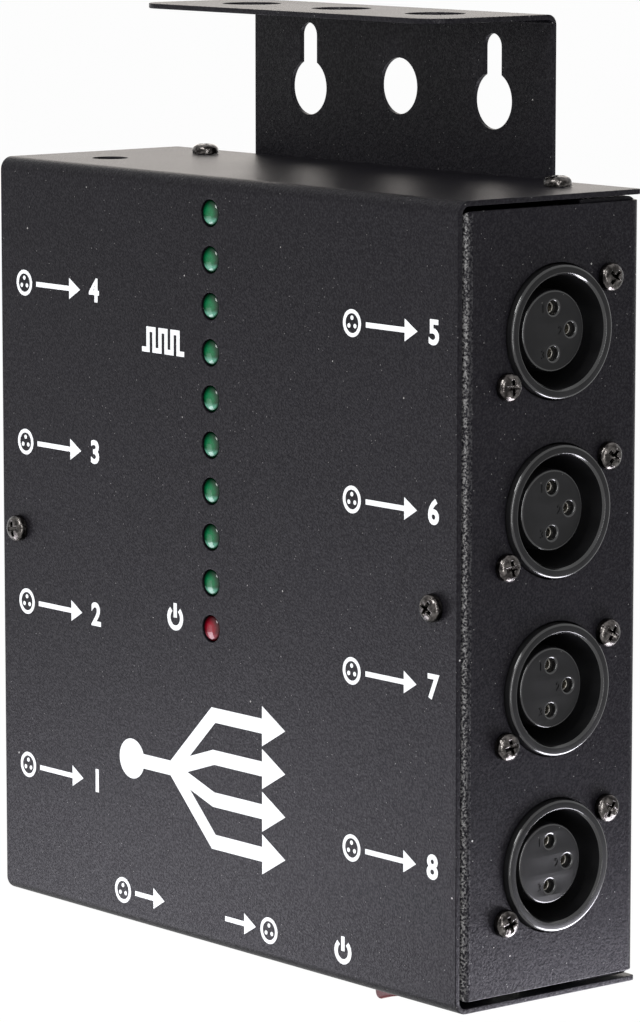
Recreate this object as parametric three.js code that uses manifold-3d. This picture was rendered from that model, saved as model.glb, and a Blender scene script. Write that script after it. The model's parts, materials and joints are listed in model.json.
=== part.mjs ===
// A wall-mounted signal splitter box: a folded steel case with four outlet sockets on each side,
// a link socket, an input plug, a power rocker and a power jack underneath, a column of ten
// lamps on the front, and an angled bracket behind it to hang it from.
// Millimetres, +Z up. The front faces -Y. The origin is on the wall plane, in the middle of the
// bracket's rear face, level with the top of the case.

import * as THREE from "three";
import { mergeVertices } from "three/addons/utils/BufferGeometryUtils.js";
import Module from "manifold-3d";

const wasm = await Module();
wasm.setup();

// Case
const CASE_WIDTH = 140;
const CASE_HEIGHT = 150;
const CASE_DEPTH = 45;
const SHEET = 1.0;
const COVER_BEND = 2.6;
const CHASSIS_BEND = 2.2;
const SIDE_TOP_GAP = 1.0;
const SIDE_BOTTOM_GAP = 1.2;
const SIDE_CORNER = 2.0;
const FRONT_LIP = 12;
const BACK_LIP = 14;
const BACK_LIP_INSET = 8;
const TOP_HOLE_D = 7.2;
const TOP_HOLE_FROM_LEFT = 16.6;
const TOP_HOLE_FROM_FRONT = 15;

// Fits
const SEAT_GAP = 0.3;
const HOLE_PLAY = 0.3;
const LAMP_PLAY = 0.15;
const SWING_PLAY = 0.3;
const OVERRUN = 5;
const MERGE_DISTANCE = 1e-4;

// Hanging bracket
const BRACKET_SHEET = 1.0;
const BRACKET_WIDTH = 89.5;
const BRACKET_RISE = 31.2;
const BRACKET_DROP = 38;
const BRACKET_REACH = 31;
const BRACKET_BEND = 2.0;
const BRACKET_CORNER = 6;
const BRACKET_FOOT_CORNER = 4;
const HANG_HOLE_D = 11;
const HANG_HOLE_PITCH = 27.7;
const HANG_HOLE_RISE = 15.7;
const KEYHOLE_RISE = 14.2;
const KEYHOLE_NECK_WIDTH = 5;
const KEYHOLE_NECK_LENGTH = 12.8;
const SHELF_HOLE_D = 11.6;
const SHELF_HOLE_FROM_WALL = 15.5;

// Screws
const SCREW_HEAD_D = 5.3;
const SCREW_HEAD_H = 1.9;
const HEAD_EDGE_SHARE = 0.4;
const HEAD_CROWN_SHARE = 0.62;
const SCREW_SHANK_D = 2.8;
const SCREW_LENGTH = 6;
const RECESS_SPAN = 2.7;
const RECESS_WIDTH = 0.85;
const RECESS_DEPTH = 1.1;
const FRONT_SCREW_FROM_LEFT = 5.5;
const FRONT_SCREW_FROM_RIGHT = 6.5;
const FRONT_SCREW_DROP = 74.7;
const LID_SCREW_FROM_LEFT = 20;
const LID_SCREW_FROM_RIGHT = 14;
const LID_SCREW_FROM_BACK = 8.4;
const BRACKET_SCREW_X = 30;
const BRACKET_SCREW_DROP = 22;
const BRACKET_HEAD_D = 5.4;
const BRACKET_HEAD_H = 0.9;
const NUT_D = 6;
const NUT_H = 2.2;

// Signal sockets: a black moulding with a raised rim, a round well and a three-hole insert
const SOCKETS_PER_SIDE = 4;
const SOCKET_FROM_FRONT = 24.3;
const RIM_D = 24.8;
const RIM_RISE = 1.3;
const RIM_ROUND = 0.7;
const RIM_BAND = 1.9;
const WELL_D = RIM_D - 2 * RIM_BAND;
const WELL_DEPTH = 14;
const INSERT_CLEARANCE = 2.85;
const INSERT_D = WELL_D - 2 * INSERT_CLEARANCE;
const INSERT_SINK = 1.3;
const INSERT_BEVEL = 0.4;
const CONTACT_CIRCLE_D = 8.5;
const CONTACT_ANGLES_DEG = [90, 0, -90];
const CONTACT_HOLE_D = 2.5;
const CONTACT_HOLE_DEPTH = 6;
const WELL_WALL = 0.5;
const SOCKET_BODY_D = WELL_D + 2 * WELL_WALL;
const SOCKET_BODY_DEPTH = 20;
const SOCKET_FLANGE_CORNER = 3;
const SOCKET_FLANGE_SHEET = 2.2;
const SOCKET_SCREW_SLANT_DEG = 36.65;
const SOCKET_SCREW_CLEARANCE = 0.53;
const SOCKET_SCREW_REACH = (RIM_D + SCREW_HEAD_D) / 2 + SOCKET_SCREW_CLEARANCE;
const SOCKET_SCREW_X = SOCKET_SCREW_REACH * Math.cos(THREE.MathUtils.degToRad(SOCKET_SCREW_SLANT_DEG));
const SOCKET_SCREW_Y = SOCKET_SCREW_REACH * Math.sin(THREE.MathUtils.degToRad(SOCKET_SCREW_SLANT_DEG));
const SOCKET_FLANGE_MARGIN = 3;
const SOCKET_FLANGE_LENGTH = 2 * (SOCKET_SCREW_X + SOCKET_FLANGE_MARGIN);
const SOCKET_FLANGE_WIDTH = 2 * (SOCKET_SCREW_Y + SOCKET_FLANGE_MARGIN);
const PLUG_WALL = 1;
const PLUG_WELL_D = WELL_D - 2 * PLUG_WALL;
const PLUG_PIN_D = 2.4;
const PLUG_PIN_LENGTH = 11;
const PLUG_TIP_SHARE = 0.5;

// Lamps
const LAMP_COUNT = 10;
const LAMP_D = 5;
const LAMP_PITCH = 8.92;
const LAMP_TOP_DROP = 6.9;
const LAMP_FROM_LEFT = 67.8;
const LAMP_PROUD = 0.4;
const LAMP_BODY_H = 6;
const LAMP_COLLAR_D = 5.8;
const LAMP_COLLAR_H = 1;
const LAMP_LEG = 0.5;
const LAMP_LEG_SPREAD = 2.54;
const DOME_ANGLES_DEG = [0, 45];

// Power rocker
const ROCKER_FROM_FRONT = 22.5;
const ROCKER_LENGTH = 16.6;
const ROCKER_WIDTH = 11.6;
const ROCKER_END_RISE = 6.2;
const ROCKER_DISH_DEG = 4;
const ROCKER_TILT_DEG = 10.5;
const ROCKER_ROOT = 3;
const ROCKER_ROUND = 1.3;
const PIVOT_D = 2.8;
const PIVOT_LENGTH = 0.8;
const POCKET_LENGTH = 18.2;
const POCKET_DEPTH = 5.5;
const SWITCH_WALL = 0.8;
const SWITCH_BODY_DEPTH = 14;
const BEZEL_LENGTH = 22;
const BEZEL_WIDTH = 15.6;
const BEZEL_RISE = 2;
const BEZEL_CORNER = 1.2;
const BLADE_WIDTH = 4.8;
const BLADE_SHEET = 0.8;
const BLADE_LENGTH = 6;
const BLADE_OFFSET_SHARE = 0.25;

// Power jack
const JACK_FLANGE_D = 10.5;
const JACK_FLANGE_H = 1.2;
const JACK_BODY_D = 8;
const JACK_BODY_DEPTH = 12;
const JACK_BORE_D = 6;
const JACK_BORE_DEPTH = 9;
const JACK_PIN_D = 2;
const JACK_NUT_D = 11;
const JACK_NUT_H = 2.4;

// How the height that the sockets and the jack leave free is shared out between two sockets
const SOCKET_SPACE_SHARE = 0.3153;

// The row of fittings in the bottom: how the width that they leave free is shared out, from the
// left side to the link socket, the input plug, the rocker and the jack
const LINK_SPACE_SHARE = 0.349;
const PLUG_SPACE_SHARE = 0.265;
const ROCKER_SPACE_SHARE = 0.033;
const JACK_SPACE_SHARE = 0.156;

// Circuit boards
const BOARD = 1.6;
const MAIN_BOARD_FROM_FRONT = 12;
const MAIN_BOARD_TOP_DROP = 5;
const MAIN_BOARD_CLEARANCE = 4;
const SIDE_BOARD_DEPTH = 28;
const HEADER_LENGTH = 3;
const HEADER_WIDTH = 5;
const HEADER_RUN = 22;
const PILLAR_D = 6;
const PILLAR_STUD_D = 3;
const PILLAR_CAP_D = 5.4;
const PILLAR_CAP_H = 1.6;
const PILLAR_INSET = 5;
const CHIP_LENGTH = 9.6;
const CHIP_WIDTH = 6.4;
const CHIP_HEIGHT = 3.4;
const CHIP_ROWS = 4;
const CHIP_PITCH = 22;
const CHIP_X = 24;
const CHIP_TOP_DROP = 19;
const CAPACITOR_D = 10;
const CAPACITOR_LENGTH = 16;
const CAPACITOR_BEVEL_SHARE = 0.125;
const CAPACITOR_X = -8;
const REGULATOR_WIDTH = 10;
const REGULATOR_BODY_H = 9;
const REGULATOR_TAB_H = 15;
const REGULATOR_BODY_SHEET = 4.4;
const REGULATOR_TAB_SHEET = 1.3;
const REGULATOR_LEG = 4;
const REGULATOR_X = 8;
const SUPPLY_RISE = 20;

// How finely round forms are cut
const FINE = 20;
const MEDIUM = 16;
const ROUND = 12;
const COARSE = 10;
const SMALL = 8;
const HEX = 6;
const BEND_STEPS = 2;
const CORNER_STEPS = 1;

// Places that follow from the sizes
const half = CASE_WIDTH / 2;
const bottom = -CASE_HEIGHT;
const backY = -(BRACKET_SHEET + SEAT_GAP);
const frontY = backY - CASE_DEPTH;
const chassisFrontY = frontY + SHEET + SEAT_GAP;
const fromFront = (distance) => frontY + distance;
const underTop = -(SHEET + SEAT_GAP);
const overBottom = bottom + SHEET + SEAT_GAP;
const screwHole = SCREW_SHANK_D + 2 * HOLE_PLAY;
const lampX = -half + LAMP_FROM_LEFT;
const columnSpare = CASE_HEIGHT - 2 * JACK_BODY_DEPTH - SOCKETS_PER_SIDE * RIM_D;
const socketPitch = RIM_D + columnSpare * SOCKET_SPACE_SHARE;

// The places along X of the fittings in the bottom. The link socket keeps clear of the sockets
// that reach in from the left side.
function bottomRow() {
  const reserve = SOCKET_BODY_DEPTH + SEAT_GAP + SOCKET_BODY_D / 2;
  const flange = SOCKET_FLANGE_WIDTH / 2;
  const bezel = BEZEL_LENGTH / 2;
  const jack = JACK_FLANGE_D / 2;
  const spare = CASE_WIDTH - reserve - 3 * flange - 2 * bezel - 2 * jack;
  const link = -half + reserve + spare * LINK_SPACE_SHARE;
  const plug = link + 2 * flange + spare * PLUG_SPACE_SHARE;
  const rocker = plug + flange + bezel + spare * ROCKER_SPACE_SHARE;
  return { link, plug, rocker, jack: rocker + bezel + jack + spare * JACK_SPACE_SHARE };
}

const row = bottomRow();

const paint = { color: 0x2b2b2e, roughness: 0.55, metalness: 0.25 };
const finishes = {
  case: new THREE.MeshStandardMaterial(paint),
  bracket: new THREE.MeshStandardMaterial({ ...paint, color: 0x262627 }),
  moulding: new THREE.MeshStandardMaterial({ color: 0x161618, roughness: 0.4, metalness: 0 }),
  screw: new THREE.MeshStandardMaterial({ color: 0x3a3836, roughness: 0.25, metalness: 0.9 }),
  greenLamp: new THREE.MeshStandardMaterial({ color: 0x14683c, roughness: 0.1, metalness: 0 }),
  redLamp: new THREE.MeshStandardMaterial({ color: 0x7c1624, roughness: 0.1, metalness: 0 }),
  rocker: new THREE.MeshStandardMaterial({ color: 0xc01c20, roughness: 0.3, metalness: 0 }),
  board: new THREE.MeshStandardMaterial({ color: 0x1d5a34, roughness: 0.5, metalness: 0 }),
  sleeve: new THREE.MeshStandardMaterial({ color: 0x24304f, roughness: 0.4, metalness: 0 }),
  bright: new THREE.MeshStandardMaterial({ color: 0xb9bab8, roughness: 0.3, metalness: 1 }),
};

// Turns a closed three.js geometry into a solid that can be joined and cut.
function solidFrom(geometry) {
  const bare = geometry.clone();
  bare.deleteAttribute("normal");
  bare.deleteAttribute("uv");
  const merged = mergeVertices(bare, MERGE_DISTANCE);
  return new wasm.Manifold(
    new wasm.Mesh({
      numProp: 3,
      vertProperties: new Float32Array(merged.attributes.position.array),
      triVerts: new Uint32Array(merged.index.array),
    }),
  );
}

// Turns a solid back into a geometry with flat faces.
function geometryFrom(solid) {
  const mesh = solid.getMesh();
  const geometry = new THREE.BufferGeometry();
  geometry.setAttribute("position", new THREE.BufferAttribute(new Float32Array(mesh.vertProperties), 3));
  geometry.setIndex(new THREE.BufferAttribute(new Uint32Array(mesh.triVerts), 1));
  const flat = geometry.toNonIndexed();
  flat.computeVertexNormals();
  return flat;
}

const join = (...solids) => solids.reduce((whole, piece) => whole.add(piece));
const cut = (body, tools) => tools.reduce((whole, tool) => whole.subtract(tool), body);

// A rotation that carries local X, Y and Z to three given world directions.
function turnTo(x, y, z) {
  return new THREE.Matrix4().makeBasis(
    new THREE.Vector3(...x),
    new THREE.Vector3(...y),
    new THREE.Vector3(...z),
  );
}

// The ways a piece can face: local +Z is the direction it looks, local +Y its upper side.
const facing = {
  right: turnTo([0, 1, 0], [0, 0, 1], [1, 0, 0]),
  left: turnTo([0, -1, 0], [0, 0, 1], [-1, 0, 0]),
  front: turnTo([1, 0, 0], [0, 0, 1], [0, -1, 0]),
  back: turnTo([-1, 0, 0], [0, 0, 1], [0, 1, 0]),
  up: turnTo([1, 0, 0], [0, 1, 0], [0, 0, 1]),
  down: turnTo([0, 1, 0], [1, 0, 0], [0, 0, -1]),
};

// A geometry turned to face one way and moved to a point.
function placed(geometry, way, x, y, z) {
  const matrix = facing[way].clone().setPosition(x, y, z);
  return geometry.clone().applyMatrix4(matrix);
}

// A block between two corners.
function block(low, high) {
  const geometry = new THREE.BoxGeometry(high[0] - low[0], high[1] - low[1], high[2] - low[2]);
  geometry.translate((low[0] + high[0]) / 2, (low[1] + high[1]) / 2, (low[2] + high[2]) / 2);
  return solidFrom(geometry);
}

// A round form about Z. The profile runs from the bottom of the axis, outwards, and back to it.
function turned(profile, steps) {
  const points = profile.map(([radius, height]) => new THREE.Vector2(radius, height));
  return new THREE.LatheGeometry(points, steps).rotateX(Math.PI / 2);
}

// A plain cylinder about Z between two heights.
function rod(diameter, low, high, steps) {
  const radius = diameter / 2;
  return turned([[0, low], [radius, low], [radius, high], [0, high]], steps);
}

// A flat outline raised along Z between two heights.
function raised(shape, low, high, steps = BEND_STEPS) {
  const geometry = new THREE.ExtrudeGeometry(shape, {
    depth: high - low,
    bevelEnabled: false,
    curveSegments: steps,
  });
  return geometry.translate(0, 0, low);
}

// A rectangle with round corners, centred on the origin; each corner has its own radius,
// from the lower left round to the upper left.
function roundedRectangle(width, height, radii) {
  const [x, y] = [width / 2, height / 2];
  const [lowLeft, lowRight, highRight, highLeft] = radii;
  const quarter = Math.PI / 2;
  const shape = new THREE.Shape();
  shape.moveTo(-x + lowLeft, -y);
  shape.lineTo(x - lowRight, -y);
  if (lowRight) shape.absarc(x - lowRight, -y + lowRight, lowRight, -quarter, 0, false);
  shape.lineTo(x, y - highRight);
  if (highRight) shape.absarc(x - highRight, y - highRight, highRight, 0, quarter, false);
  shape.lineTo(-x + highLeft, y);
  if (highLeft) shape.absarc(-x + highLeft, y - highLeft, highLeft, quarter, 2 * quarter, false);
  shape.lineTo(-x, -y + lowLeft);
  if (lowLeft) shape.absarc(-x + lowLeft, -y + lowLeft, lowLeft, 2 * quarter, 3 * quarter, false);
  return shape;
}

// The section of a sheet folded at right angles. The corners follow its outer face, every fold
// turns left, and the metal lies on the left of the path.
function foldedSection(corners, sheet, bend) {
  const path = corners.map(([x, y]) => new THREE.Vector2(x, y));
  const directions = path.slice(1).map((point, i) => point.clone().sub(path[i]).normalize());
  const left = (direction) => new THREE.Vector2(-direction.y, direction.x);
  const folds = path.slice(1, -1).map((corner, i) => {
    const inward = left(directions[i]).multiplyScalar(bend);
    const centre = corner.clone().addScaledVector(directions[i], -bend).add(inward);
    const start = Math.atan2(-directions[i].x, directions[i].y);
    return { centre, start, end: start + Math.PI / 2 };
  });
  const shape = new THREE.Shape();
  const last = path.length - 1;
  const innerStart = path[0].clone().addScaledVector(left(directions[0]), sheet);
  const innerEnd = path[last].clone().addScaledVector(left(directions[last - 1]), sheet);
  shape.moveTo(path[0].x, path[0].y);
  for (const fold of folds) {
    const { centre, start } = fold;
    shape.lineTo(centre.x + bend * Math.cos(start), centre.y + bend * Math.sin(start));
    shape.absarc(fold.centre.x, fold.centre.y, bend, fold.start, fold.end, false);
  }
  shape.lineTo(path[last].x, path[last].y);
  shape.lineTo(innerEnd.x, innerEnd.y);
  for (const fold of [...folds].reverse()) {
    shape.absarc(fold.centre.x, fold.centre.y, bend - sheet, fold.end, fold.start, true);
  }
  shape.lineTo(innerStart.x, innerStart.y);
  return shape;
}

// A section drawn in the Y-Z plane and run along X between two places.
function alongX(shape, low, high) {
  const matrix = turnTo([0, 1, 0], [0, 0, 1], [1, 0, 0]);
  return solidFrom(raised(shape, low, high).applyMatrix4(matrix));
}

// A round hole through a sheet, seen from the way it faces, at a point on its outer face.
function hole(diameter, way, at, steps) {
  return solidFrom(placed(rod(diameter, -OVERRUN, OVERRUN, steps), way, ...at));
}

// Two numbers, the lower one first.
const ordered = (a, b) => [Math.min(a, b), Math.max(a, b)];

const group = new THREE.Group();

function addMesh(name, geometry, material, way, at) {
  const mesh = new THREE.Mesh(geometry, material);
  mesh.name = name;
  if (way) mesh.quaternion.setFromRotationMatrix(facing[way]);
  if (at) mesh.position.set(...at);
  group.add(mesh);
  return mesh;
}

// Where each socket sits: its name, the way it faces and the point on the panel's outer face. The
// left column counts upwards and the right one downwards.
function socketPlaces() {
  const places = [];
  const columns = [
    { side: "left", x: -half, first: 1, up: 1 },
    { side: "right", x: half, first: SOCKETS_PER_SIDE + 1, up: -1 },
  ];
  for (const { side, x, first, up } of columns) {
    for (let i = 0; i < SOCKETS_PER_SIDE; i += 1) {
      const rise = up * (i - (SOCKETS_PER_SIDE - 1) / 2) * socketPitch;
      const at = [x, fromFront(SOCKET_FROM_FRONT), bottom / 2 + rise];
      places.push({ name: `output_socket_${first + i}`, way: side, at });
    }
  }
  const y = fromFront(SOCKET_FROM_FRONT);
  places.push({ name: "link_socket", way: "down", at: [row.link, y, bottom] });
  places.push({ name: "input_plug", way: "down", at: [row.plug, y, bottom] });
  return places;
}

// The two screws of a socket, on a diagonal, as points in the socket's own frame.
const socketScrews = [
  [SOCKET_SCREW_X, SOCKET_SCREW_Y],
  [-SOCKET_SCREW_X, -SOCKET_SCREW_Y],
];

// A point of a piece's own frame, carried to the case.
function carried(place, x, y, z) {
  const point = new THREE.Vector3(x, y, z).applyMatrix4(facing[place.way]);
  return [point.x + place.at[0], point.y + place.at[1], point.z + place.at[2]];
}

const sockets = socketPlaces();
const lampPlaces = Array.from({ length: LAMP_COUNT }, (_, i) => [
  lampX,
  frontY,
  -LAMP_TOP_DROP - i * LAMP_PITCH,
]);
const frontScrews = [
  [-half + FRONT_SCREW_FROM_LEFT, frontY, -FRONT_SCREW_DROP],
  [half - FRONT_SCREW_FROM_RIGHT, frontY, -FRONT_SCREW_DROP],
];
const lidScrewXs = [-half + LID_SCREW_FROM_LEFT, half - LID_SCREW_FROM_RIGHT];
const topScrews = lidScrewXs.map((x) => [x, backY - LID_SCREW_FROM_BACK, 0]);
const bottomScrews = lidScrewXs.map((x) => [x, backY - LID_SCREW_FROM_BACK, bottom]);
const bracketScrews = [-1, 1].map((side) => [side * BRACKET_SCREW_X, 0, -BRACKET_SCREW_DROP]);
const rockerAt = [row.rocker, fromFront(ROCKER_FROM_FRONT), bottom];
const jackAt = [row.jack, fromFront(ROCKER_FROM_FRONT), bottom];
const pocketWidth = ROCKER_WIDTH + 2 * SWING_PLAY;
const switchBody = [POCKET_LENGTH + 2 * SWITCH_WALL, pocketWidth + 2 * SWITCH_WALL];

// The holes that a socket needs in the panel that carries it.
function socketHoles(place) {
  const screws = socketScrews.map(([x, y]) => hole(screwHole, place.way, carried(place, x, y, 0), HEX));
  return [hole(RIM_D + 2 * HOLE_PLAY, place.way, place.at, FINE), ...screws];
}

// The cover: top, front and bottom folded from one sheet.
function makeCover() {
  const corners = [[backY, 0], [frontY, 0], [frontY, bottom], [backY, bottom]];
  const sheet = alongX(foldedSection(corners, SHEET, COVER_BEND), -half, half);
  const [x, y, z] = rockerAt;
  const [long, wide] = switchBody.map((size) => size / 2 + SEAT_GAP);
  const tools = [
    ...lampPlaces.map((at) => hole(LAMP_D + 2 * LAMP_PLAY, "front", at, ROUND)),
    ...frontScrews.map((at) => hole(screwHole, "front", at, HEX)),
    ...topScrews.map((at) => hole(screwHole, "up", at, HEX)),
    ...bottomScrews.map((at) => hole(screwHole, "down", at, HEX)),
    ...sockets.filter((place) => place.way === "down").flatMap(socketHoles),
    hole(TOP_HOLE_D, "up", [-half + TOP_HOLE_FROM_LEFT, fromFront(TOP_HOLE_FROM_FRONT), 0], FINE),
    hole(JACK_BODY_D + 2 * HOLE_PLAY, "down", jackAt, ROUND),
    block([x - long, y - wide, z - OVERRUN], [x + long, y + wide, z + OVERRUN]),
  ];
  return cut(sheet, tools);
}

// The pillars that hold the main board off the back, each with its stud and end screw.
const sideBoardOuter = half - SOCKET_BODY_DEPTH - SEAT_GAP;
const sideBoardInner = sideBoardOuter - BOARD;
const mainBoardHalf = sideBoardInner - SEAT_GAP - HEADER_LENGTH;
const mainBoardTop = -(SHEET + MAIN_BOARD_TOP_DROP);
const mainBoardBottom = bottom + SOCKET_BODY_DEPTH + MAIN_BOARD_CLEARANCE;
const mainBoardFront = fromFront(MAIN_BOARD_FROM_FRONT);
const mainBoardBack = mainBoardFront + BOARD;
const pillarPlaces = [-1, 1].flatMap((side) =>
  [mainBoardTop - PILLAR_INSET, mainBoardBottom + PILLAR_INSET].map((z) => [
    side * (mainBoardHalf - PILLAR_INSET),
    z,
  ]),
);

function makePillar([x, z]) {
  const root = backY - SHEET / 2;
  const shoulder = mainBoardBack + SEAT_GAP;
  const capStart = mainBoardFront - SEAT_GAP;
  const profile = [
    [0, -root],
    [PILLAR_D / 2, -root],
    [PILLAR_D / 2, -shoulder],
    [PILLAR_STUD_D / 2, -shoulder],
    [PILLAR_STUD_D / 2, -capStart],
    [PILLAR_CAP_D / 2, -capStart],
    [PILLAR_CAP_D / 2, PILLAR_CAP_H - capStart],
    [0, PILLAR_CAP_H - capStart],
  ];
  return solidFrom(placed(turned(profile, HEX), "front", x, 0, z));
}

// A nut pressed into a sheet from inside, on the far side from where its screw enters.
function pressedNut(way, [x, y, z], sheetFace) {
  const low = -(sheetFace + SHEET + NUT_H);
  return solidFrom(placed(rod(NUT_D, low, -(sheetFace + SHEET / 2), HEX), way, x, y, z));
}

// The chassis: the back and both sides folded from one sheet, with a lip round every edge that
// the cover is screwed to.
function makeChassis() {
  const corners = [
    [half - FRONT_LIP, chassisFrontY],
    [half, chassisFrontY],
    [half, backY],
    [-half, backY],
    [-half, chassisFrontY],
    [-half + FRONT_LIP, chassisFrontY],
  ];
  const sideTop = -(SHEET + SIDE_TOP_GAP);
  const sideBottom = bottom + SHEET + SIDE_BOTTOM_GAP;
  const tray = solidFrom(raised(foldedSection(corners, SHEET, CHASSIS_BEND), sideBottom, sideTop));
  const corner = SIDE_CORNER;
  const outline = roundedRectangle(backY - chassisFrontY, sideTop - sideBottom, [0, corner, corner, 0]);
  const trim = alongX(outline, -half - OVERRUN, half + OVERRUN).translate([
    0,
    (backY + chassisFrontY) / 2,
    (sideTop + sideBottom) / 2,
  ]);
  const lipHalf = half - BACK_LIP_INSET;
  const top = [[backY, -BACK_LIP], [backY, underTop], [backY - BACK_LIP, underTop]];
  const foot = [[backY - BACK_LIP, overBottom], [backY, overBottom], [backY, bottom + BACK_LIP]];
  const lips = [top, foot].map((path) => {
    return alongX(foldedSection(path, SHEET, CHASSIS_BEND), -lipHalf, lipHalf);
  });
  const notchHalf = SOCKET_FLANGE_WIDTH / 2 + SEAT_GAP;
  const notchDeep = SOCKET_FROM_FRONT + SOCKET_FLANGE_LENGTH / 2 + SEAT_GAP;
  const notch = block(
    [row.link - notchHalf, frontY, bottom],
    [row.plug + notchHalf, fromFront(notchDeep), bottom + BACK_LIP],
  );
  const lidDrop = SHEET + SEAT_GAP;
  const nuts = [
    ...frontScrews.map((at) => pressedNut("front", at, lidDrop)),
    ...topScrews.map((at) => pressedNut("up", at, lidDrop)),
    ...bottomScrews.map((at) => pressedNut("down", at, lidDrop)),
    ...bracketScrews.map((at) => pressedNut("back", at, -backY)),
  ];
  const solid = join(tray.intersect(trim), ...lips, ...nuts, ...pillarPlaces.map(makePillar));
  const deepHole = (way, at) => {
    const reach = 2 * OVERRUN;
    return solidFrom(placed(rod(screwHole, -reach, reach, HEX), way, ...at));
  };
  return cut(solid, [
    notch,
    ...sockets.filter((place) => place.way !== "down").flatMap(socketHoles),
    ...frontScrews.map((at) => deepHole("front", at)),
    ...topScrews.map((at) => deepHole("up", at)),
    ...bottomScrews.map((at) => deepHole("down", at)),
    ...bracketScrews.map((at) => deepHole("back", at)),
  ]);
}

// A keyhole cut: a round head with a narrower neck above it.
function keyhole([x, z]) {
  const neckTop = KEYHOLE_NECK_LENGTH - KEYHOLE_NECK_WIDTH / 2;
  const head = hole(HANG_HOLE_D, "back", [x, 0, z], FINE);
  const tip = hole(KEYHOLE_NECK_WIDTH, "back", [x, 0, z + neckTop], ROUND);
  const wide = KEYHOLE_NECK_WIDTH / 2;
  return join(head, tip, block([x - wide, -OVERRUN, z], [x + wide, OVERRUN, z + neckTop]));
}

// The hanging bracket: a plate against the wall with a shelf folded forward over the case.
function makeBracket() {
  const path = [[0, -BRACKET_DROP], [0, BRACKET_RISE], [-BRACKET_REACH, BRACKET_RISE]];
  const wide = BRACKET_WIDTH / 2;
  const sheet = alongX(foldedSection(path, BRACKET_SHEET, BRACKET_BEND), -wide, wide);
  const tall = BRACKET_RISE + BRACKET_DROP;
  const foot = BRACKET_FOOT_CORNER;
  const plateOutline = roundedRectangle(BRACKET_WIDTH, tall, [foot, foot, 0, 0]);
  const plate = raised(plateOutline, -OVERRUN, 2 * BRACKET_REACH);
  const corner = BRACKET_CORNER;
  const deep = BRACKET_REACH + OVERRUN;
  const shelfOutline = roundedRectangle(BRACKET_WIDTH, deep, [corner, corner, 0, 0]);
  const shelf = raised(shelfOutline, -tall, 2 * tall);
  const plateTrim = solidFrom(placed(plate, "front", 0, 0, BRACKET_RISE - tall / 2));
  const shelfTrim = solidFrom(placed(shelf, "up", 0, deep / 2 - BRACKET_REACH, 0));
  const shelfY = -SHELF_HOLE_FROM_WALL;
  const columns = [-HANG_HOLE_PITCH, 0, HANG_HOLE_PITCH];
  const sinks = bracketScrews.map(([x, y, z]) => {
    const profile = [
      [0, -OVERRUN],
      [screwHole / 2, -OVERRUN],
      [screwHole / 2, -BRACKET_HEAD_H],
      [BRACKET_HEAD_D / 2 + HOLE_PLAY, 0],
      [BRACKET_HEAD_D / 2 + HOLE_PLAY, OVERRUN],
      [0, OVERRUN],
    ];
    return solidFrom(placed(turned(profile, ROUND), "back", x, y, z));
  });
  return cut(sheet.intersect(plateTrim).intersect(shelfTrim), [
    hole(HANG_HOLE_D, "back", [0, 0, HANG_HOLE_RISE], FINE),
    keyhole([-HANG_HOLE_PITCH, KEYHOLE_RISE]),
    keyhole([HANG_HOLE_PITCH, KEYHOLE_RISE]),
    ...columns.map((x) => hole(SHELF_HOLE_D, "up", [x, shelfY, BRACKET_RISE], FINE)),
    ...sinks,
  ]);
}

// The moulding of a signal socket about Z, from its closed rear to its raised rim. The well
// floor and whatever stands in it are given as the rest of the profile.
function socketMoulding(wellD, floorProfile) {
  const rim = RIM_D / 2;
  const well = wellD / 2;
  const neck = -(SHEET + SEAT_GAP + SOCKET_FLANGE_SHEET / 2);
  const profile = [
    [0, -SOCKET_BODY_DEPTH],
    [SOCKET_BODY_D / 2, -SOCKET_BODY_DEPTH],
    [SOCKET_BODY_D / 2, neck],
    [rim, neck],
    [rim, RIM_RISE - RIM_ROUND],
    [rim - RIM_ROUND, RIM_RISE],
    [well, RIM_RISE],
    [well, -WELL_DEPTH],
    ...floorProfile,
  ];
  const corner = SOCKET_FLANGE_CORNER;
  const corners = [corner, corner, corner, corner];
  const outline = roundedRectangle(SOCKET_FLANGE_LENGTH, SOCKET_FLANGE_WIDTH, corners);
  const flangeTop = -(SHEET + SEAT_GAP);
  const flange = solidFrom(raised(outline, flangeTop - SOCKET_FLANGE_SHEET, flangeTop, CORNER_STEPS));
  const body = solidFrom(turned(profile, MEDIUM));
  const core = solidFrom(rod(SOCKET_BODY_D, -SOCKET_BODY_DEPTH, OVERRUN, MEDIUM));
  const screws = socketScrews.map(([x, y]) => {
    return solidFrom(rod(screwHole, -2 * OVERRUN, OVERRUN, HEX).translate(x, y, 0));
  });
  return join(cut(flange, [core, ...screws]), body);
}

// The three contacts, as points round the insert: above, behind and below the middle.
const contactPoints = CONTACT_ANGLES_DEG.map((degrees) => {
  const angle = THREE.MathUtils.degToRad(degrees);
  return [(Math.cos(angle) * CONTACT_CIRCLE_D) / 2, (Math.sin(angle) * CONTACT_CIRCLE_D) / 2];
});

function makeSocket() {
  const insert = INSERT_D / 2;
  const face = -INSERT_SINK;
  const moulding = socketMoulding(WELL_D, [
    [insert, -WELL_DEPTH],
    [insert, face - INSERT_BEVEL],
    [insert - INSERT_BEVEL, face],
    [0, face],
  ]);
  const holes = contactPoints.map(([x, y]) => {
    const bore = rod(CONTACT_HOLE_D, face - CONTACT_HOLE_DEPTH, OVERRUN, HEX);
    return solidFrom(bore.translate(x, y, 0));
  });
  return cut(moulding, holes);
}

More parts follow.
